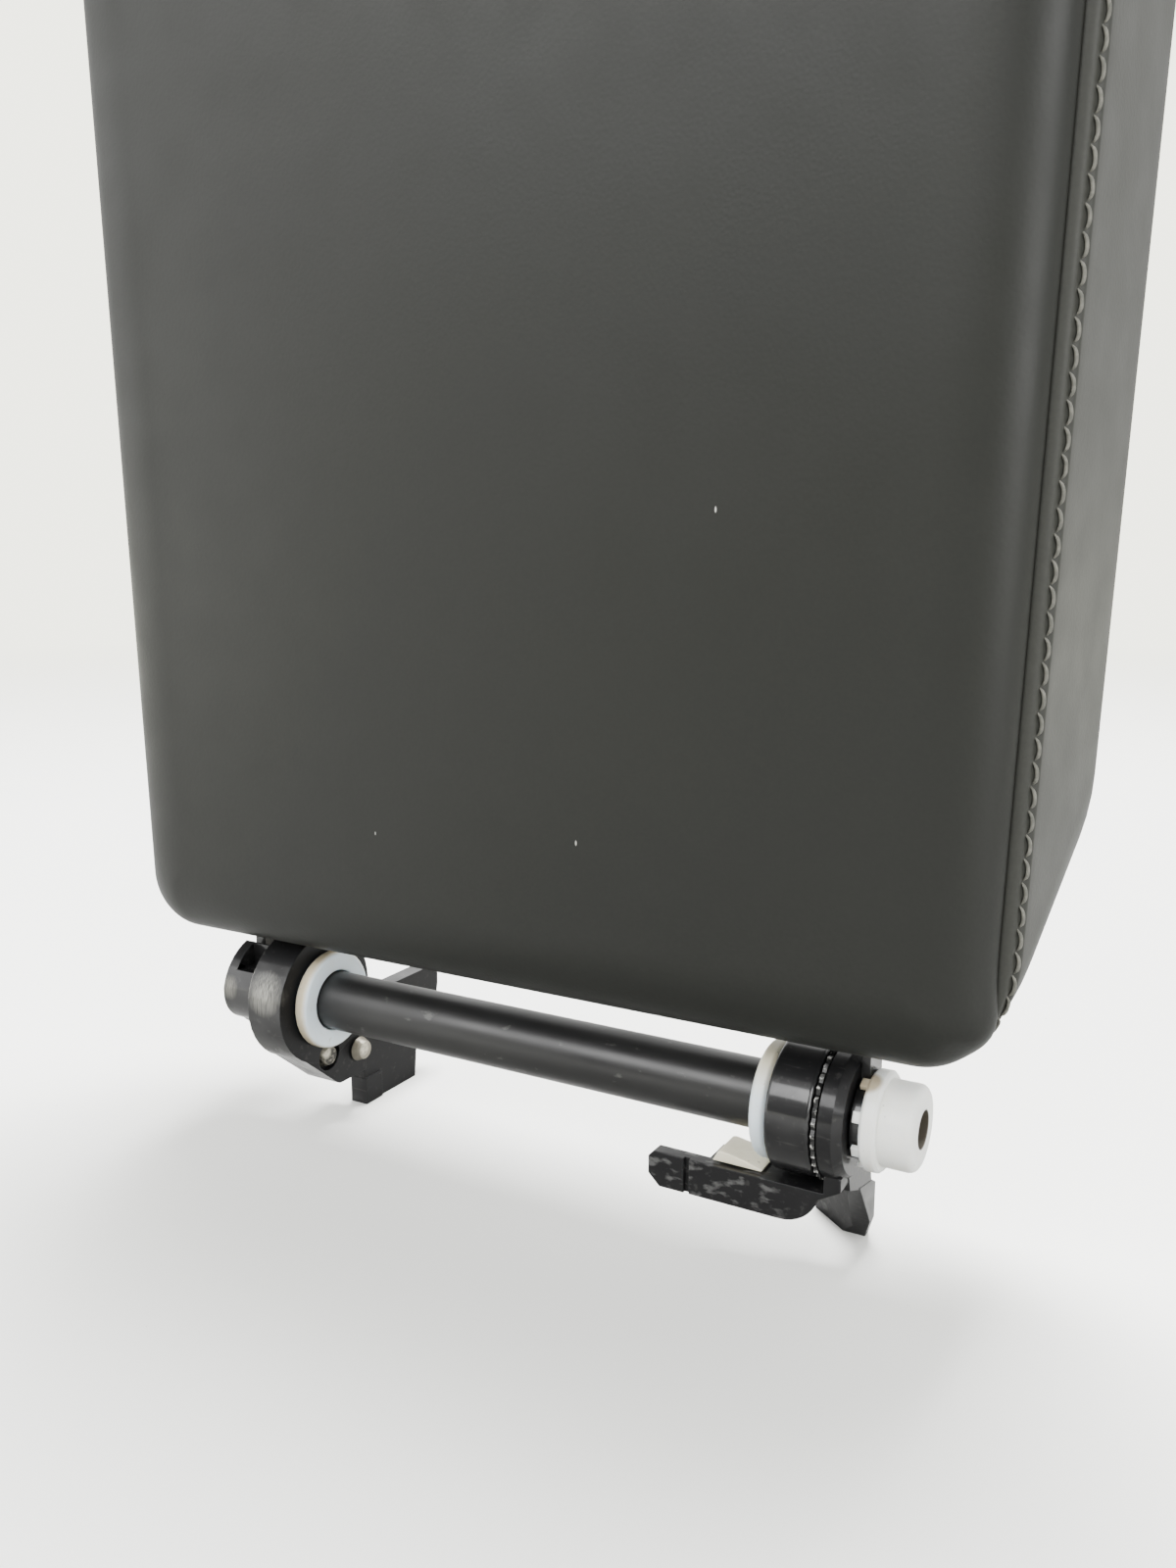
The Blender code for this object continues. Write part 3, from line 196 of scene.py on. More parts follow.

# Nylon: white, its dirt, the cream upper part of the right bush, the rim of the left one
BUSH_WHITE = (0.74, 0.83, 0.88)
BUSH_DIRT = (0.70, 0.68, 0.58)
BUSH_CREAM = (0.72, 0.68, 0.52)
CREAM_START = 0.004
CREAM_FULL = 0.010
BUSH_RIM = (0.0113, 0.0119, (0.60, 0.52, 0.36))
NUT_WHITE = (0.92, 0.93, 0.88)
NUT_DIRT = (0.78, 0.77, 0.68)
# Grime and painted shade on the nut's tang behind the cushion: place, reach, colour
NUT_GRIME_AND_SHADE = ((at(0.0770, -0.0040, 0.0095), 0.0032, (0.45, 0.38, 0.26)),)
# Painted shade in the nut's bore: its radius, and its dark brown
NUT_HOLE = 0.0037
BORE_SHADE_BROWN = (0.075, 0.065, 0.050)
PAD_CREAM = (0.80, 0.75, 0.58)
PAD_DIRT = (0.42, 0.33, 0.18)

# Bracket screws: place of the bright centre of each head, and its reach, beyond which the head is painted
# dark as shade
FRONT_HEAD = (at(-0.0595, -0.0008, -0.0140), 0.0018)
BACK_HEAD = (at(-0.0575, 0.0110, -0.0165), 0.0022)

# Smoothing of the CAD nodes, and widths of their small bevels
WELD = 1e-5
SHARP_ANGLE = math.radians(32)
BEVEL_ANGLE = math.radians(40)
BEVEL_STEPS = 3
EDGE = 0.0004
TUBE_EDGE = 0.0003
RUBBER_EDGE = 0.0005

# Inputs of Blender's map range nodes
RANGE_SOCKETS = ("From Min", "From Max", "To Min", "To Max")


def tinted(colour, factor):
    """A colour made lighter or darker."""
    return [channel * factor for channel in colour]


class Surface:
    """A procedural material: a Principled shader, and the nodes that vary it over the surface."""

    def __init__(self, name, colour, roughness, metallic=0.0, edge=0.0, sockets=None):
        self.material = bpy.data.materials.new(name)
        self.material.use_nodes = True
        self.nodes = self.material.node_tree.nodes
        self.links = self.material.node_tree.links
        self.shader = self.nodes["Principled BSDF"]
        self.colour = (*colour, 1.0)
        self.roughness = roughness
        self.normal = None
        self.shader.inputs["Base Color"].default_value = self.colour
        self.shader.inputs["Roughness"].default_value = roughness
        self.shader.inputs["Metallic"].default_value = metallic
        for socket, value in (sockets or {}).items():
            self.shader.inputs[socket].default_value = value
        self.place = self.node("TexCoord").outputs["Object"]
        if edge:
            soft = self.node("Bevel", samples=4)
            soft.inputs["Radius"].default_value = edge
            self.normal = soft.outputs["Normal"]
            self.links.new(self.normal, self.shader.inputs["Normal"])

    def node(self, kind, **settings):
        made = self.nodes.new("ShaderNode" + kind)
        for key, value in settings.items():
            setattr(made, key, value)
        return made

    def feed(self, socket, value):
        if isinstance(value, bpy.types.NodeSocket):
            self.links.new(value, socket)
        else:
            socket.default_value = value

    def stretched(self, stretch):
        if stretch is None:
            return self.place
        mapping = self.node("Mapping")
        mapping.inputs["Scale"].default_value = stretch
        self.links.new(self.place, mapping.inputs["Vector"])
        return mapping.outputs["Vector"]

    def noise(self, size, detail, stretch=None):
        """Cloudy noise with features of a size in metres."""
        made = self.node("TexNoise")
        made.inputs["Scale"].default_value = 1 / size
        made.inputs["Detail"].default_value = detail
        self.links.new(self.stretched(stretch), made.inputs["Vector"])
        return made.outputs["Fac"]

    def cells(self, size):
        """Rounded pebbles of a size in metres."""
        made = self.node("TexVoronoi", feature="SMOOTH_F1")
        made.inputs["Scale"].default_value = 1 / size
        self.links.new(self.place, made.inputs["Vector"])
        return made.outputs["Distance"]

    def span(self, value, low, high, start=0.0, end=1.0):
        made = self.node("MapRange", clamp=True)
        self.links.new(value, made.inputs["Value"])
        for socket, number in zip(RANGE_SOCKETS, (low, high, start, end)):
            made.inputs[socket].default_value = number
        return made.outputs["Result"]

    def near(self, point, inner, outer, stretch=None):
        """1 within inner of a point, falling to 0 at outer."""
        made = self.node("VectorMath", operation="DISTANCE")
        scaled = Vector(point)
        if stretch is not None:
            scaled = Vector(p * s for p, s in zip(scaled, stretch))
        self.links.new(self.stretched(stretch), made.inputs[0])
        made.inputs[1].default_value = scaled
        return self.span(made.outputs["Value"], inner, outer, 1.0, 0.0)

    def along(self, axis):
        """The surface's place along X, Y or Z."""
        split = self.node("SeparateXYZ")
        self.links.new(self.place, split.inputs["Vector"])
        return split.outputs[axis]

    def radius(self):
        """Distance from the hinge axis."""
        centred = self.node("VectorMath", operation="SUBTRACT")
        self.links.new(self.place, centred.inputs[0])
        centred.inputs[1].default_value = AXIS
        flat = self.node("VectorMath", operation="MULTIPLY")
        self.links.new(centred.outputs["Vector"], flat.inputs[0])
        flat.inputs[1].default_value = (0.0, 1.0, 1.0)
        length = self.node("VectorMath", operation="LENGTH")
        self.links.new(flat.outputs["Vector"], length.inputs[0])
        return length.outputs["Value"]

    def facing_along(self):
        """How squarely the surface faces along the hinge, from 0 to 1."""
        split = self.node("SeparateXYZ")
        self.links.new(self.node("NewGeometry").outputs["Normal"], split.inputs["Vector"])
        return self.maths("ABSOLUTE", split.outputs["X"], 0.0)

    def maths(self, operation, first, second):
        made = self.node("Math", operation=operation)
        self.feed(made.inputs[0], first)
        self.feed(made.inputs[1], second)
        return made.outputs["Value"]

    def paint(self, factor, colour):
        """Covers the surface with a colour by a factor."""
        mix = self.node("Mix", data_type="RGBA")
        self.feed(mix.inputs[0], factor)
        self.feed(mix.inputs[6], self.colour)
        mix.inputs[7].default_value = (*colour, 1.0)
        self.colour = mix.outputs[2]
        self.links.new(self.colour, self.shader.inputs["Base Color"])

    def gloss(self, factor, roughness):
        """Moves the roughness toward a value by a factor."""
        mix = self.node("Mix", data_type="FLOAT")
        self.feed(mix.inputs[0], factor)
        self.feed(mix.inputs[2], self.roughness)
        mix.inputs[3].default_value = roughness
        self.roughness = mix.outputs[0]
        self.links.new(self.roughness, self.shader.inputs["Roughness"])

    def cloud(self, size, low, high, detail=3.0, stretch=None):
        """0 to 1 over cloudy noise, between two of its levels."""
        return self.span(self.noise(size, detail, stretch), low, high)

    def stain(self, colour, size, low, high, detail=3.0, stretch=None, amount=1.0):
        """Covers the surface unevenly with a colour, up to an amount."""
        self.paint(self.maths("MULTIPLY", self.cloud(size, low, high, detail, stretch), amount), colour)

    def dull(self, roughness, size, low, high, detail=3.0, stretch=None):
        """Moves the roughness toward a value unevenly."""
        self.gloss(self.cloud(size, low, high, detail, stretch), roughness)

    def bumps(self, size, depth, strength, detail=3.0, stretch=None):
        """Cloudy relief with features of a size."""
        self.relief(self.noise(size, detail, stretch), depth, strength)

    def relief(self, height, depth, strength):
        bump = self.node("Bump")
        bump.inputs["Strength"].default_value = strength
        bump.inputs["Distance"].default_value = depth
        self.links.new(height, bump.inputs["Height"])
        if self.normal is not None:
            self.links.new(self.normal, bump.inputs["Normal"])
        self.normal = bump.outputs["Normal"]
        self.links.new(self.normal, self.shader.inputs["Normal"])


def leather(name, colour, roughness, lint=()):
    """Fine-grained vinyl leather: pebbles under a millimetre, faint stretch and uneven sheen."""
    made = Surface(name, colour, roughness, sockets={"Specular IOR Level": 0.28})
    made.stain(tinted(colour, 1.35), size=0.045, low=0.35, high=0.70, detail=4.0, amount=0.35)
    made.dull(roughness + 0.06, size=0.012, low=0.3, high=0.7)
    made.stain(tinted(colour, 1.5), size=PEBBLE_TINT, low=0.40, high=0.62, amount=0.30)
    made.relief(made.cells(PEBBLE), depth=0.00006, strength=0.30)
    made.bumps(size=0.0004, depth=0.00003, strength=0.30, detail=2.0)
    made.bumps(size=0.018, depth=0.0002, strength=0.12, detail=2.0)
    for point, size in lint:
        made.paint(made.near(point, size * 0.6, size, LINT_STRETCH), LINT_PALE)
    return made.material


def thread_look():
    """Polyester thread with paler patches painted in as its highlights, and its twist."""
    made = Surface("seam_thread", (0.105, 0.105, 0.090), 0.70, sockets={"Specular IOR Level": 0.3})
    # painted highlight: paler patches stand in for the thread's highlights
    made.stain((0.18, 0.175, 0.15), size=0.0012, low=0.4, high=0.7)
    made.bumps(size=0.0002, depth=0.0002, strength=0.6, detail=2.0, stretch=(1.0, 1.0, 0.3))
    return made.material


def cast_black(name, wear_and_highlights=(), matte_faces=False, scuffs=0.0, lacquer=1.0):
    """Black lacquered casting: glossy on its turned faces, duller on flat ones, with worn patches that
    also carry painted highlights.
    """
    sockets = {"Specular IOR Level": 0.18, "Coat Roughness": 0.13}
    made = Surface(name, (0.0045, 0.0045, 0.005), 0.50, edge=EDGE, sockets=sockets)
    shine = made.span(made.noise(0.005, 4.0), 0.30, 0.70, lacquer, lacquer * 0.55)
    if matte_faces:
        turned = made.span(made.facing_along(), 0.85, 0.97, 1.0, 0.04)
        shine = made.maths("MULTIPLY", shine, turned)
    made.links.new(shine, made.shader.inputs["Coat Weight"])
    made.stain((0.075, 0.075, 0.070), size=0.0016, low=0.60, high=0.74, detail=5.0, amount=0.25)
    made.bumps(size=0.0022, depth=0.00008, strength=0.22, detail=2.0)
    if scuffs:
        marks = made.cloud(size=0.0016, low=0.54, high=0.66, detail=6.0, stretch=(0.45, 1.0, 1.0))
        lever = made.span(made.along("X"), LEVER_SCUFFED, LEVER_CLEAN, 1.0, 0.0)
        marks = made.maths("MULTIPLY", marks, lever)
        made.paint(made.maths("MULTIPLY", marks, scuffs), (0.19, 0.19, 0.185))
        made.bumps(size=0.0009, depth=0.00012, strength=0.4, stretch=(0.6, 1.0, 1.0))
    # painted highlight on worn metal: a bright streaky patch at a fixed place on the casting
    for point, inner, outer, colour, amount in wear_and_highlights:
        patch = made.near(point, inner, outer)
        streaks = made.cloud(size=0.0006, low=0.25, high=0.70, stretch=(3.0, 1.0, 0.12))
        both = made.maths("MULTIPLY", made.maths("MULTIPLY", patch, streaks), amount)
        made.paint(both, colour)
    made.stain((0.14, 0.14, 0.13), size=0.0010, low=0.68, high=0.73, stretch=(0.08, 1.0, 1.0), amount=0.12)
    return made.material


def satin_tube():
    """Satin black tube with a faint haze, small scuffs and drawing lines along it."""
    made = Surface("satin_black_tube", (0.007, 0.007, 0.007), 0.33, edge=TUBE_EDGE)
    made.dull(0.50, size=0.010, low=0.35, high=0.7, detail=4.0, stretch=(0.35, 1.0, 1.0))
    haze = made.cloud(size=0.016, low=0.45, high=0.75, detail=5.0, stretch=(0.30, 1.0, 1.0))
    made.paint(made.maths("MULTIPLY", haze, 0.35), (0.035, 0.035, 0.032))
    scuff = made.cloud(size=0.0022, low=0.66, high=0.74, detail=4.0, stretch=(0.5, 1.0, 1.0))
    made.paint(made.maths("MULTIPLY", scuff, 0.45), (0.12, 0.12, 0.11))
    made.bumps(size=0.0016, depth=0.00006, strength=0.25, stretch=(0.2, 1.0, 1.0))
    return made.material


def nylon(name, colour, dirt, softness=0.35, rim=None, top=None, grime_and_shade=(), hole=None):
    """Milky nylon: light goes a little way in, and grime sits in its texture."""
    sockets = {
        "Subsurface Weight": softness,
        "Subsurface Radius": (1.0, 0.9, 0.8),
        "Subsurface Scale": 0.0025,
    }
    made = Surface(name, colour, 0.33, edge=0.0003, sockets=sockets)
    if rim is not None:
        start, full, tint = rim
        made.paint(made.span(made.radius(), start, full), tint)
    if top is not None:
        made.paint(made.span(made.along("Z"), AXIS.z + CREAM_START, AXIS.z + CREAM_FULL), top)
    # grime and painted shade at set places
    for point, reach, tint in grime_and_shade:
        made.paint(made.near(point, reach * 0.7, reach), tint)
    if hole is not None:
        # painted shade: the nut's bore is painted dark brown
        made.paint(made.span(made.radius(), hole, hole + FIT, 1.0, 0.0), BORE_SHADE_BROWN)
    made.stain(dirt, size=0.004, low=0.45, high=0.75, detail=4.0, amount=0.22)
    made.stain(tinted(dirt, 0.45), size=0.0012, low=0.68, high=0.74, detail=4.0, amount=0.5)
    made.dull(0.45, size=0.003, low=0.4, high=0.7)
    made.bumps(size=0.0012, depth=0.00006, strength=0.2, detail=2.0)
    return made.material


def steel(name, colour=(0.52, 0.50, 0.46), roughness=0.34, metallic=1.0):
    """Plated steel with dull spots."""
    made = Surface(name, colour, roughness, metallic=metallic, edge=0.0002)
    made.stain(tinted(colour, 0.55), size=0.0015, low=0.45, high=0.75, detail=4.0)
    made.dull(0.52, size=0.0008, low=0.35, high=0.7)
    made.bumps(size=0.0004, depth=0.00004, strength=0.35)
    return made.material


def toothed_black():
    """Black toothed washer with glints painted on its tips here and there."""
    made = Surface("toothed_black", (0.006, 0.006, 0.006), 0.35, edge=0.0001)
    # painted highlight: the tooth tips are painted bright in places, as glints
    tips = made.span(made.radius(), RING_RADIUS - TOOTH_GLINT_DEPTH, RING_RADIUS)
    wear_and_highlights = made.maths("MULTIPLY", tips, made.cloud(size=0.0008, low=0.48, high=0.60))
    made.paint(made.maths("MULTIPLY", wear_and_highlights, 0.85), (0.62, 0.62, 0.58))
    made.bumps(size=0.0005, depth=0.00008, strength=0.5)
    return made.material


def screw_look(name, colour, shade_colour, centre, reach):
    """Plated screw head, painted dark outside its centre as the shade round the head."""
    made = Surface(name, shade_colour, 0.45, metallic=0.6, edge=0.0002)
    # painted shade: dark outside the centre, the head's own colour within
    made.paint(made.near(centre, reach * 0.55, reach), colour)
    made.stain(tinted(colour, 0.5), size=0.0009, low=0.45, high=0.70, detail=4.0)
    made.bumps(size=0.0007, depth=0.0001, strength=0.6)
    return made.material


def moulded(name, colour, grain):
    """Moulded plastic with a spark-eroded grain."""
    made = Surface(name, colour, 0.55, edge=EDGE)
    made.stain(tinted(colour, 1.5), size=0.030, low=0.4, high=0.75, detail=4.0)
    made.dull(0.68, size=0.010, low=0.35, high=0.7, detail=4.0)
    made.relief(made.cells(grain), depth=0.0001, strength=0.35)
    made.bumps(size=grain / 2, depth=0.00006, strength=0.35)
    return made.material


def rubber():
    """Dull black rubber, dusty in its texture."""
    made = Surface("rubber", (0.018, 0.018, 0.018), 0.82)
    made.stain((0.05, 0.05, 0.047), size=0.002, low=0.5, high=0.75, detail=4.0)
    made.bumps(size=0.0006, depth=0.0001, strength=0.4)
    return made.material


def floor_look():
    """White paper: small marks near the object, blending into the pale surround far away."""
    made = Surface("floor_paper", (0.86, 0.86, 0.83), 0.75, sockets={"Specular IOR Level": 0.15})
    made.stain((0.83, 0.835, 0.805), size=0.35, low=0.35, high=0.75)
    made.stain((0.42, 0.41, 0.37), size=0.0040, low=0.745, high=0.765, detail=5.0, amount=0.45)
    rays = made.node("LightPath")
    made.paint(rays.outputs["Is Diffuse Ray"], FLOOR_BOUNCE)
    made.paint(rays.outputs["Is Glossy Ray"], FLOOR_GLEAM)
    far = made.node("VectorMath", operation="LENGTH")
    made.links.new(made.place, far.inputs[0])
    glow = made.node("Emission")
    glow.inputs["Color"].default_value = SURROUND
    unseen = made.maths("SUBTRACT", 1.0, rays.outputs["Is Diffuse Ray"])
    made.links.new(made.maths("MULTIPLY", unseen, SURROUND_STRENGTH), glow.inputs["Strength"])
    blend = made.node("MixShader")
    made.links.new(made.span(far.outputs["Value"], *FLOOR_FADE), blend.inputs[0])
    made.links.new(made.shader.outputs["BSDF"], blend.inputs[1])
    made.links.new(glow.outputs["Emission"], blend.inputs[2])
    made.links.new(blend.outputs["Shader"], made.nodes["Material Output"].inputs["Surface"])
    return made.material


def smooth_group():
    """Welds a CAD mesh and shades it smooth across its facets, with its real edges kept sharp."""
    group = bpy.data.node_groups.new("smooth_by_angle", "GeometryNodeTree")
    group.interface.new_socket("Geometry", in_out="INPUT", socket_type="NodeSocketGeometry")
    group.interface.new_socket("Geometry", in_out="OUTPUT", socket_type="NodeSocketGeometry")
    enter = group.nodes.new("NodeGroupInput")
    leave = group.nodes.new("NodeGroupOutput")
    clear = group.nodes.new("GeometryNodeRemoveAttribute")
    clear.inputs["Name"].default_value = "custom_normal"
    weld = group.nodes.new("GeometryNodeMergeByDistance")
    weld.inputs["Distance"].default_value = WELD
    faces = group.nodes.new("GeometryNodeSetShadeSmooth")
    edges = group.nodes.new("GeometryNodeSetShadeSmooth")
    edges.domain = "EDGE"
    edges.inputs["Shade Smooth"].default_value = False
    angle = group.nodes.new("GeometryNodeInputMeshEdgeAngle")
    sharp = group.nodes.new("FunctionNodeCompare")
    sharp.operation = "GREATER_THAN"
    sharp.inputs["B"].default_value = SHARP_ANGLE
    link = group.links.new
    link(enter.outputs[0], clear.inputs["Geometry"])
    link(clear.outputs["Geometry"], weld.inputs["Geometry"])
    link(weld.outputs["Geometry"], faces.inputs["Geometry"])
    link(faces.outputs["Geometry"], edges.inputs["Geometry"])
    link(angle.outputs["Unsigned Angle"], sharp.inputs["A"])
    link(sharp.outputs["Result"], edges.inputs["Selection"])
    link(edges.outputs["Geometry"], leave.inputs[0])
    return group


SMOOTH = smooth_group()


def dress(look, *names, bevel=0.0):
    """Gives CAD nodes their material, smooth shading and rounded edges."""
    for name in names:
        node = nodes[name]
        if not node.material_slots:
            node.data.materials.append(look)
        for place in node.material_slots:
            place.material = look
        smooth = node.modifiers.new("Smooth", "NODES")
        smooth.node_group = SMOOTH
        if bevel:
            edge = node.modifiers.new("Edges", "BEVEL")
            edge.width = bevel
            edge.segments = BEVEL_STEPS
            edge.limit_method = "ANGLE"
            edge.angle_limit = BEVEL_ANGLE
            edge.use_clamp_overlap = True
            edge.harden_normals = True


def piece(name, bm, look, body, replaced=()):
    """A new piece from a finished bmesh: smooth shading, material, and the body that carries it."""
    bmesh.ops.recalc_face_normals(bm, faces=bm.faces)
    mesh = bpy.data.meshes.new(name)
    bm.to_mesh(mesh)
    bm.free()
    obj = bpy.data.objects.new(name, mesh)
    bpy.context.scene.collection.objects.link(obj)
    mesh.materials.append(look)
    mesh.shade_smooth()
    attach(obj, body)
    if replaced:
        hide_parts(*replaced)
    return obj


def cut_box(bm, low, high):
    """Cuts a box out of a bmesh, with closed walls along the cut."""
    box = bmesh.new()
    bmesh.ops.create_cube(box, size=1.0)
    for vert in box.verts:
        vert.co = Vector(a + (b - a) * (c + 0.5) for a, b, c in zip(low, high, vert.co))
    bmesh.ops.recalc_face_normals(bm, faces=bm.faces)
    solids = []
    for made in (bm, box):
        mesh = bpy.data.meshes.new("solid")
        made.to_mesh(mesh)
        solid = bpy.data.objects.new("solid", mesh)
        bpy.context.scene.collection.objects.link(solid)
        solids.append(solid)
    box.free()
    cut = solids[0].modifiers.new("Cut", "BOOLEAN")
    cut.operation = "DIFFERENCE"
    cut.solver = "EXACT"
    cut.object = solids[1]
    result = solids[0].evaluated_get(bpy.context.evaluated_depsgraph_get())
    bm.clear()
    bm.from_mesh(result.to_mesh())
    result.to_mesh_clear()
    for solid in solids:
        bpy.data.meshes.remove(solid.data)


def arc(centre, radius, start, end, steps):
    """Points of an arc, angles in degrees."""
    angles = [math.radians(start + (end - start) * i / steps) for i in range(steps + 1)]
    return [(centre[0] + radius * math.cos(a), centre[1] + radius * math.sin(a)) for a in angles]


def flare_at(depth):
    return min(max((depth - SEAM_DEPTH) / (LID_BACK - SEAM_DEPTH), 0.0), 1.0)


def taper_at(rise):
    return 1 + LID_TAPER * (rise - LID_END) / (LID_TOP - LID_END)


HALF_WIDTH = cover_high.x / taper_at(LID_TOP - CORNER_RADIUS)


def lid_outline(depth, offset, long_steps, short_steps, corner_steps):
    """The lid's outline in (x, rise) at a depth, moved outward by offset, from the hinge end's right."""
    flare = flare_at(depth)
    radius = max(CORNER_RADIUS + CORNER_FLARE * flare + offset, 0.001)
    side = HALF_WIDTH + FLARE * flare + offset - radius
    end_offset = min(offset, offset * END_SHARE)
    bottom = LID_END - END_FLARE * flare - end_offset + radius
    top = LID_TOP + END_FLARE * flare + end_offset - radius
    middles = ((side, bottom, -90), (side, top, 0), (-side, top, 90), (-side, bottom, 180))
    corners = [arc((x, z), radius, start, start + 90, corner_steps) for x, z, start in middles]
    ring = []
    for index, corner in enumerate(corners):
        ring += corner
        steps = (long_steps, short_steps)[index % 2]
        (x0, z0), (x1, z1) = corner[-1], corners[(index + 1) % 4][0]
        ring += [(x0 + (x1 - x0) * k / steps, z0 + (z1 - z0) * k / steps) for k in range(1, steps)]
    return [(x * taper_at(z), z) for x, z in ring]


def skin(bm, rings):
    """Joins successive closed rings of vertices with quads."""
    for first, second in zip(rings, rings[1:]):
        for i in range(len(first)):
            bm.faces.new((first[i - 1], first[i], second[i], second[i - 1]))


def roll_profile():
    """The cushion's rolled edge as (depth, offset), from the seam to the start of the flat."""
    points = []
    across = 0.0
    drop = 0.0
    step = ROLL_TURN / ROLL_STEPS
    for index in range(ROLL_STEPS):
        points.append((drop, across))
        turn = ROLL_TURN - (index + 0.5) * step
        radius = ROLL_TIGHT + ROLL_EASE * (1 - turn / ROLL_TURN) ** 3
        across += radius * math.cos(turn) * step
        drop += radius * math.sin(turn) * step
    points.append((drop, across))
    return [(SEAM_DEPTH - SEAM_DROP * d / drop, -a) for d, a in points]


def cushion():
    """Leather over foam: a crowned face with a rolled edge, tucked into the seam groove."""
    lip = LEATHER + FIT
    sections = [
        (FOAM_BACK, -RIM_INSET),
        (RIM_FRONT, -RIM_INSET),
        (RIM_FRONT, -lip),
        (SEAM_DEPTH + GROOVE_START, -lip),
    ]
    sections += [(SEAM_DEPTH + depth, offset) for depth, offset in GROOVE]
    sections += roll_profile()
    bm = bmesh.new()
    rings = []
    for depth, offset in sections:
        ring = lid_outline(depth, offset, *CUSHION_STEPS)
        rings.append([bm.verts.new(at(x, depth, z)) for x, z in ring])
    flat = lid_outline(LID_FRONT, sections[-1][1], *CUSHION_STEPS)
    half_x = max(x for x, z in flat)
    half_z = max(z for x, z in flat) - LID_MIDDLE
    for index in range(1, PANEL_STEPS):
        share = 1 - (index / PANEL_STEPS) ** PANEL_SPREAD
        ring = []
        for x, z in flat:
            x, z = x * share, LID_MIDDLE + (z - LID_MIDDLE) * share
            u, v = abs(x) / half_x / taper_at(z) * taper_at(LID_TOP), abs(z - LID_MIDDLE) / half_z
            rise = max(1 - min(u, 1.0) ** 4, 0.0) * max(1 - min(v, 1.0) ** 4, 0.0)
            swell = noise.noise(Vector((x, 0.0, z)) / SWELL_SIZE) * SWELL * rise
            ring.append(bm.verts.new(at(x, LID_FRONT - CROWN * rise ** 1.5 + swell, z)))
        rings.append(ring)
    skin(bm, rings)
    bm.faces.new(rings[0])
    bm.faces.new(rings[-1])
    for place, reach, depth in CORNER_MOVES:
        centre = at(*place)
        for vert in bm.verts:
            away = (vert.co - centre).length / reach
            vert.co += CORNER_INWARD * (depth * math.exp(-away * away))
    made = piece("cushion_cover", bm, LEATHER_TOP, "lid", ("top_cover", "foam_pad"))


def shoulder_point(turn, dip=0.0):
    """(depth, offset) on the side cover's rounded shoulder, sunk by dip."""
    radius = SHOULDER - dip
    return SIDE_TOP + SHOULDER - radius * math.cos(turn), radius * math.sin(turn)


def ring_lengths(ring):
    """Distance along a closed ring of (x, rise) at each of its points."""
    lengths = [0.0]
    for (x0, z0), (x1, z1) in zip(ring, ring[1:]):
        lengths.append(lengths[-1] + math.hypot(x1 - x0, z1 - z0))
    return lengths


def channel_dip(turn, along):
    """How far the stitching pulls the leather in, deepest at the needle holes."""
    away = (turn - STITCH_TURN) * SHOULDER / CHANNEL_HALF
    hole = math.cos(math.pi * along / STITCH_PITCH) ** 2
    return CHANNEL_DEPTH * math.exp(-away * away) * (1 - HOLE_DEPTH + HOLE_DEPTH * hole)


def smooth_step(value):
    value = min(max(value, 0.0), 1.0)
    return value * value * (3 - 2 * value)


def tucked_outline(depth, offset):
    """Outline of the side cover, whose shoulder slips behind the cushion at the hinge end's corners."""
    wide = lid_outline(depth, offset, *SIDE_STEPS)
    if offset <= 0:
        return wide
    narrow = lid_outline(depth, offset * TUCK_SHARE, *SIDE_STEPS)
    shallow = 1 - smooth_step((depth - SIDE_TOP) / TUCK_DEPTH)
    ring = []
    for (x, z), (narrow_x, narrow_z) in zip(wide, narrow):
        share = shallow * smooth_step((LID_END + TUCK_START - z) / (TUCK_START - TUCK_END))
        ring.append((x + (narrow_x - x) * share, z + (narrow_z - z) * share))
    return ring


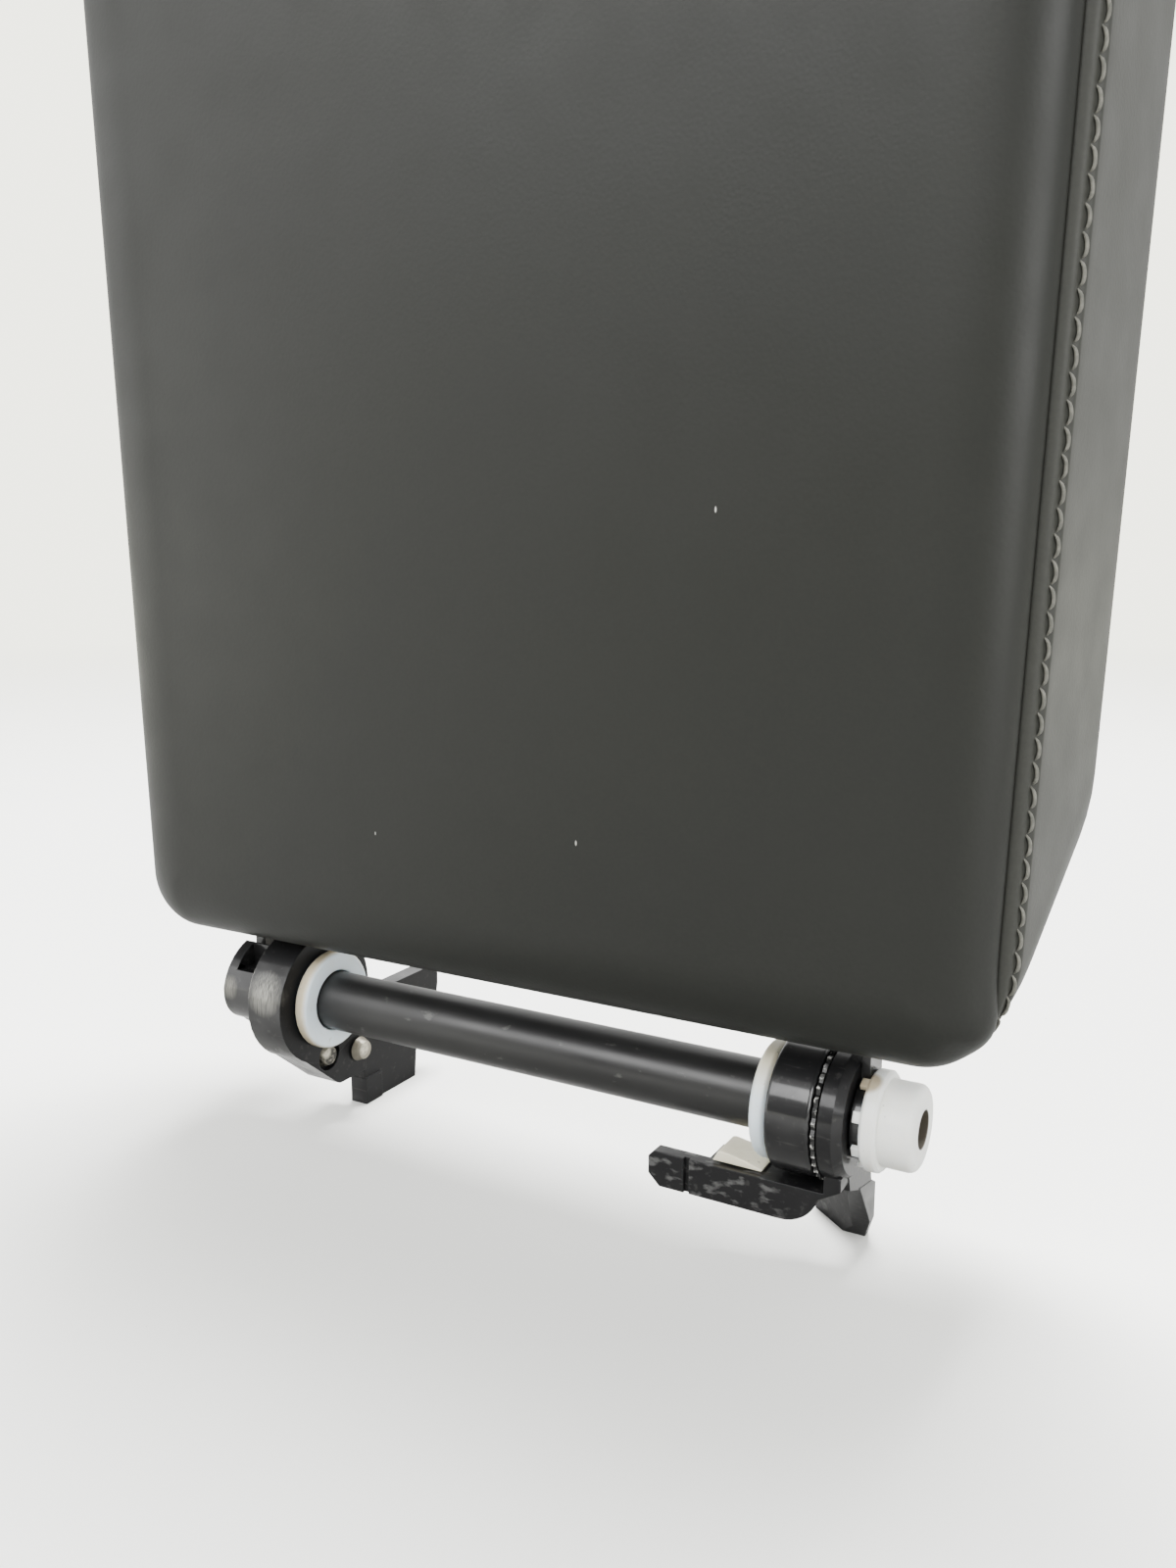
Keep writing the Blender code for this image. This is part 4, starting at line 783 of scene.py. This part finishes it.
def side_cover():
    """Sewn side band: cut edge in the groove, stitched shoulder, wall, and hem turned under."""
    shoulder_turns = [math.radians(90 * i / SHOULDER_STEPS) for i in range(SHOULDER_STEPS + 1)]
    hem_turns = [math.radians(90 * i / HEM_STEPS) for i in range(HEM_STEPS + 1)]
    lengths = ring_lengths(tucked_outline(*shoulder_point(STITCH_TURN)))
    sections = [
        (SIDE_TOP + LEATHER * CUT_EDGE, -LEATHER, None),
        (SIDE_TOP + CUT_EDGE_GAP, -LEATHER * CUT_EDGE, None),
    ]
    sections += [(*shoulder_point(turn), turn) for turn in shoulder_turns]
    wall_start, wall_end = SIDE_TOP + SHOULDER, LID_BACK - HEM_ROUND
    for k in range(1, WALL_STEPS):
        share = k / WALL_STEPS
        sections.append((wall_start + (wall_end - wall_start) * share, SHOULDER, None))
    sections += [
        (LID_BACK - HEM_ROUND * (1 - math.sin(a)), SHOULDER - HEM_ROUND * (1 - math.cos(a)), None)
        for a in hem_turns
    ]
    sections += [
        (LID_BACK, SHOULDER - HEM, None),
        (LID_BACK - LEATHER, SHOULDER - HEM, None),
        (LID_BACK - LEATHER, SHOULDER - HEM_ROUND, None),
        (LID_BACK - HEM_ROUND, SHOULDER - LEATHER, None),
        (SIDE_TOP + SHOULDER, SHOULDER - LEATHER, None),
        (SIDE_TOP + LEATHER, 0.0, None),
        (SIDE_TOP + LEATHER, -LEATHER, None),
    ]
    bm = bmesh.new()
    rings = []
    for depth, offset, turn in sections:
        ring = tucked_outline(depth, offset)
        verts = []
        for index, (x, z) in enumerate(ring):
            point = at(x, depth, z)
            if turn is not None:
                dip = channel_dip(turn, lengths[index])
                inward = Vector((-math.copysign(math.sin(turn), x), math.cos(turn), 0.0))
                point = point + inward * dip
            verts.append(bm.verts.new(point))
        rings.append(verts)
    rings.append(rings[0])
    skin(bm, rings)
    cut_box(
        bm,
        at(-BAY_HALF_WIDTH, SIDE_TOP - CUT_OVER, LID_END - END_FLARE - SHOULDER - CUT_OVER),
        at(BAY_HALF_WIDTH, LID_BACK + CUT_OVER, LID_END + BAY_LIP),
    )
    piece("side_band", bm, SIDE_LEATHER_LIGHTENED, "lid", ("side_cover",))


def stitches():
    """One row of lockstitches round the shoulder, ending at the hinge bay."""
    sunk = CHANNEL_DEPTH * STITCH_SUNK
    depth, offset = shoulder_point(STITCH_TURN, sunk)
    depth_above, offset_above = shoulder_point(STITCH_TURN - SMALL_TURN, sunk)
    row = tucked_outline(depth, offset)
    above = tucked_outline(depth_above, offset_above)
    lengths = ring_lengths(row)
    bm = bmesh.new()
    index = 0
    count = int(lengths[-1] / STITCH_PITCH)
    for number in range(count):
        reach = (number + 0.5) * STITCH_PITCH
        while lengths[index + 1] < reach:
            index += 1
        share = (reach - lengths[index]) / (lengths[index + 1] - lengths[index])
        (x0, z0), (x1, z1) = row[index], row[index + 1]
        x, z = x0 + (x1 - x0) * share, z0 + (z1 - z0) * share
        if abs(x) < BAY_HALF_WIDTH + STITCH_PITCH / 2 and z < LID_END + BAY_LIP:
            continue
        along = Vector((x1 - x0, 0.0, z1 - z0)).normalized()
        x_above, z_above = above[index]
        section = Vector((x_above - x0, depth_above - depth, z_above - z0)).normalized()
        out = along.cross(section).normalized()
        if out.dot(Vector((x, -FRONTWARD, z - LID_MIDDLE))) < 0:
            out.negate()
        across = out.cross(along)
        centre = at(x, depth, z)
        loops = []
        for k in range(STITCH_RINGS):
            t = 2 * k / (STITCH_RINGS - 1) - 1
            lift = STITCH_RADIUS * STITCH_PROUD - STITCH_DIP * abs(t) ** 4
            radius = STITCH_RADIUS * (1 - STITCH_TAPER * abs(t) ** 6)
            sideways = STITCH_SLANT * t - STITCH_BOW * (1 - t * t)
            middle = centre + along * (t * STITCH_LENGTH / 2) + out * lift + across * sideways
            loop = []
            for corner in range(STITCH_SIDES):
                turn = 2 * math.pi * corner / STITCH_SIDES
                point = middle + across * (radius * math.cos(turn)) + out * (radius * math.sin(turn))
                loop.append(bm.verts.new(point))
            loops.append(loop)
        skin(bm, loops)
        bm.faces.new(loops[0])
        bm.faces.new(loops[-1])
    piece("seam_stitches", bm, THREAD, "lid")


LEATHER_TOP = leather("charcoal_leather", (0.0066, 0.0073, 0.0056), 0.44, LINT)
# Side band: the cushion's leather, given a lighter colour as painted sheen for its grazing reflection
SIDE_LEATHER_LIGHTENED = leather("grey_leather", (0.0225, 0.0232, 0.0196), 0.50)
THREAD = thread_look()

cushion()
side_cover()
stitches()

dress(cast_black("left_casting", BARREL_WEAR_AND_HIGHLIGHT, matte_faces=True), "left_bracket", bevel=EDGE)
dress(cast_black("nose_casting", NOSE_WEAR_AND_HIGHLIGHT), "left_arm", bevel=EDGE)
dress(cast_black("right_casting"), "ratchet_ring", "right_arm", bevel=EDGE)
dress(cast_black("lever_casting", scuffs=0.38, lacquer=0.5), "right_bracket", bevel=EDGE)
dress(satin_tube(), "hinge_tube", bevel=TUBE_EDGE)
dress(nylon("left_nylon", BUSH_WHITE, BUSH_DIRT, rim=BUSH_RIM), "left_bush", bevel=EDGE)
dress(nylon("right_nylon", BUSH_WHITE, BUSH_DIRT, top=BUSH_CREAM), "right_bush", bevel=EDGE)
dress(
    nylon("nut_nylon", NUT_WHITE, NUT_DIRT, softness=0.4, grime_and_shade=NUT_GRIME_AND_SHADE, hole=NUT_HOLE),
    "friction_nut",
    bevel=EDGE,
)
dress(nylon("cream_nylon", PAD_CREAM, PAD_DIRT, softness=0.2), "lever_pad", bevel=EDGE)
dress(
    screw_look("front_screw_steel", (0.50, 0.47, 0.38), (0.03, 0.028, 0.024), *FRONT_HEAD),
    "bracket_screw_front",
)
dress(
    screw_look("back_screw_steel", (0.62, 0.58, 0.47), (0.26, 0.24, 0.19), *BACK_HEAD),
    "bracket_screw_back",
)
dress(toothed_black(), "serrated_washer")
# The rod's end shows in the nut's bore: its colour is darkened as painted shade of the bore
dress(steel("shaded_rod_steel", (0.10, 0.085, 0.065), 0.55, metallic=0.5), "pivot_rod")
dress(
    steel("zinc_steel"),
    "thrust_washer",
    "disc_spring",
    "left_arm_screw_lower",
    "left_arm_screw_upper",
    "right_arm_screw_lower",
    "right_arm_screw_upper",
    *[f"panel_screw_{n}" for n in range(1, 5)],
)
dress(moulded("moulded_base", (0.022, 0.022, 0.022), 0.0012), "lid_base")
dress(moulded("moulded_panel", (0.030, 0.030, 0.029), 0.0010), "bottom_panel")
dress(rubber(), "bumper_left", "bumper_right", bevel=RUBBER_EDGE)


def floor():
    """Round pale floor that runs out into the surround."""
    bm = bmesh.new()
    bmesh.ops.create_circle(bm, cap_ends=True, segments=FLOOR_SIDES, radius=FLOOR_RADIUS)
    mesh = bpy.data.meshes.new("floor")
    bm.to_mesh(mesh)
    bm.free()
    mesh.materials.append(floor_look())
    obj = bpy.data.objects.new("floor", mesh)
    bpy.context.scene.collection.objects.link(obj)


def softbox(name, place, target, size, power):
    light = bpy.data.lights.new(name, "AREA")
    light.shape = "RECTANGLE"
    light.size, light.size_y = size
    light.energy = power
    obj = bpy.data.objects.new(name, light)
    obj.location = place
    obj.rotation_euler = (Vector(target) - Vector(place)).to_track_quat("-Z", "Y").to_euler()
    bpy.context.scene.collection.objects.link(obj)


def studio():
    """Room light that comes mostly from behind and above, a pale surround, and the softboxes."""
    world = bpy.data.worlds.new("studio")
    world.use_nodes = True
    nodes_of, link = world.node_tree.nodes, world.node_tree.links.new
    room = nodes_of["Background"]
    room.inputs["Color"].default_value = ROOM_TINT
    where = nodes_of.new("ShaderNodeTexCoord")
    toward = nodes_of.new("ShaderNodeVectorMath")
    toward.operation = "DOT_PRODUCT"
    toward.inputs[1].default_value = ROOM_TOWARD.normalized()
    link(where.outputs["Generated"], toward.inputs[0])
    level = nodes_of.new("ShaderNodeMapRange")
    level.interpolation_type = "SMOOTHSTEP"
    limits = (-ROOM_BLEND, ROOM_BLEND, ROOM_DARK, ROOM_BRIGHT)
    for socket, number in zip(RANGE_SOCKETS, limits):
        level.inputs[socket].default_value = number
    link(toward.outputs["Value"], level.inputs["Value"])
    link(level.outputs["Result"], room.inputs["Strength"])
    seen = nodes_of.new("ShaderNodeBackground")
    seen.inputs["Color"].default_value = SURROUND
    seen.inputs["Strength"].default_value = SURROUND_STRENGTH
    rays = nodes_of.new("ShaderNodeLightPath")
    choose = nodes_of.new("ShaderNodeMixShader")
    link(rays.outputs["Is Camera Ray"], choose.inputs[0])
    link(room.outputs["Background"], choose.inputs[1])
    link(seen.outputs["Background"], choose.inputs[2])
    link(choose.outputs["Shader"], nodes_of["World Output"].inputs["Surface"])
    bpy.context.scene.world = world
    for values in SOFTBOXES:
        softbox(*values)


def camera():
    data = bpy.data.cameras.new("camera")
    data.sensor_fit = "AUTO"
    data.sensor_width = SENSOR
    data.lens = SENSOR * FOCAL_PIXELS / IMAGE_HEIGHT
    data.clip_start = CLIP_START
    obj = bpy.data.objects.new("camera", data)
    obj.location = AXIS + CAMERA_PLACE
    obj.rotation_euler = (math.radians(90) + CAMERA_PITCH, 0.0, CAMERA_HEADING)
    bpy.context.scene.collection.objects.link(obj)
    bpy.context.scene.camera = obj


floor()
studio()
camera()
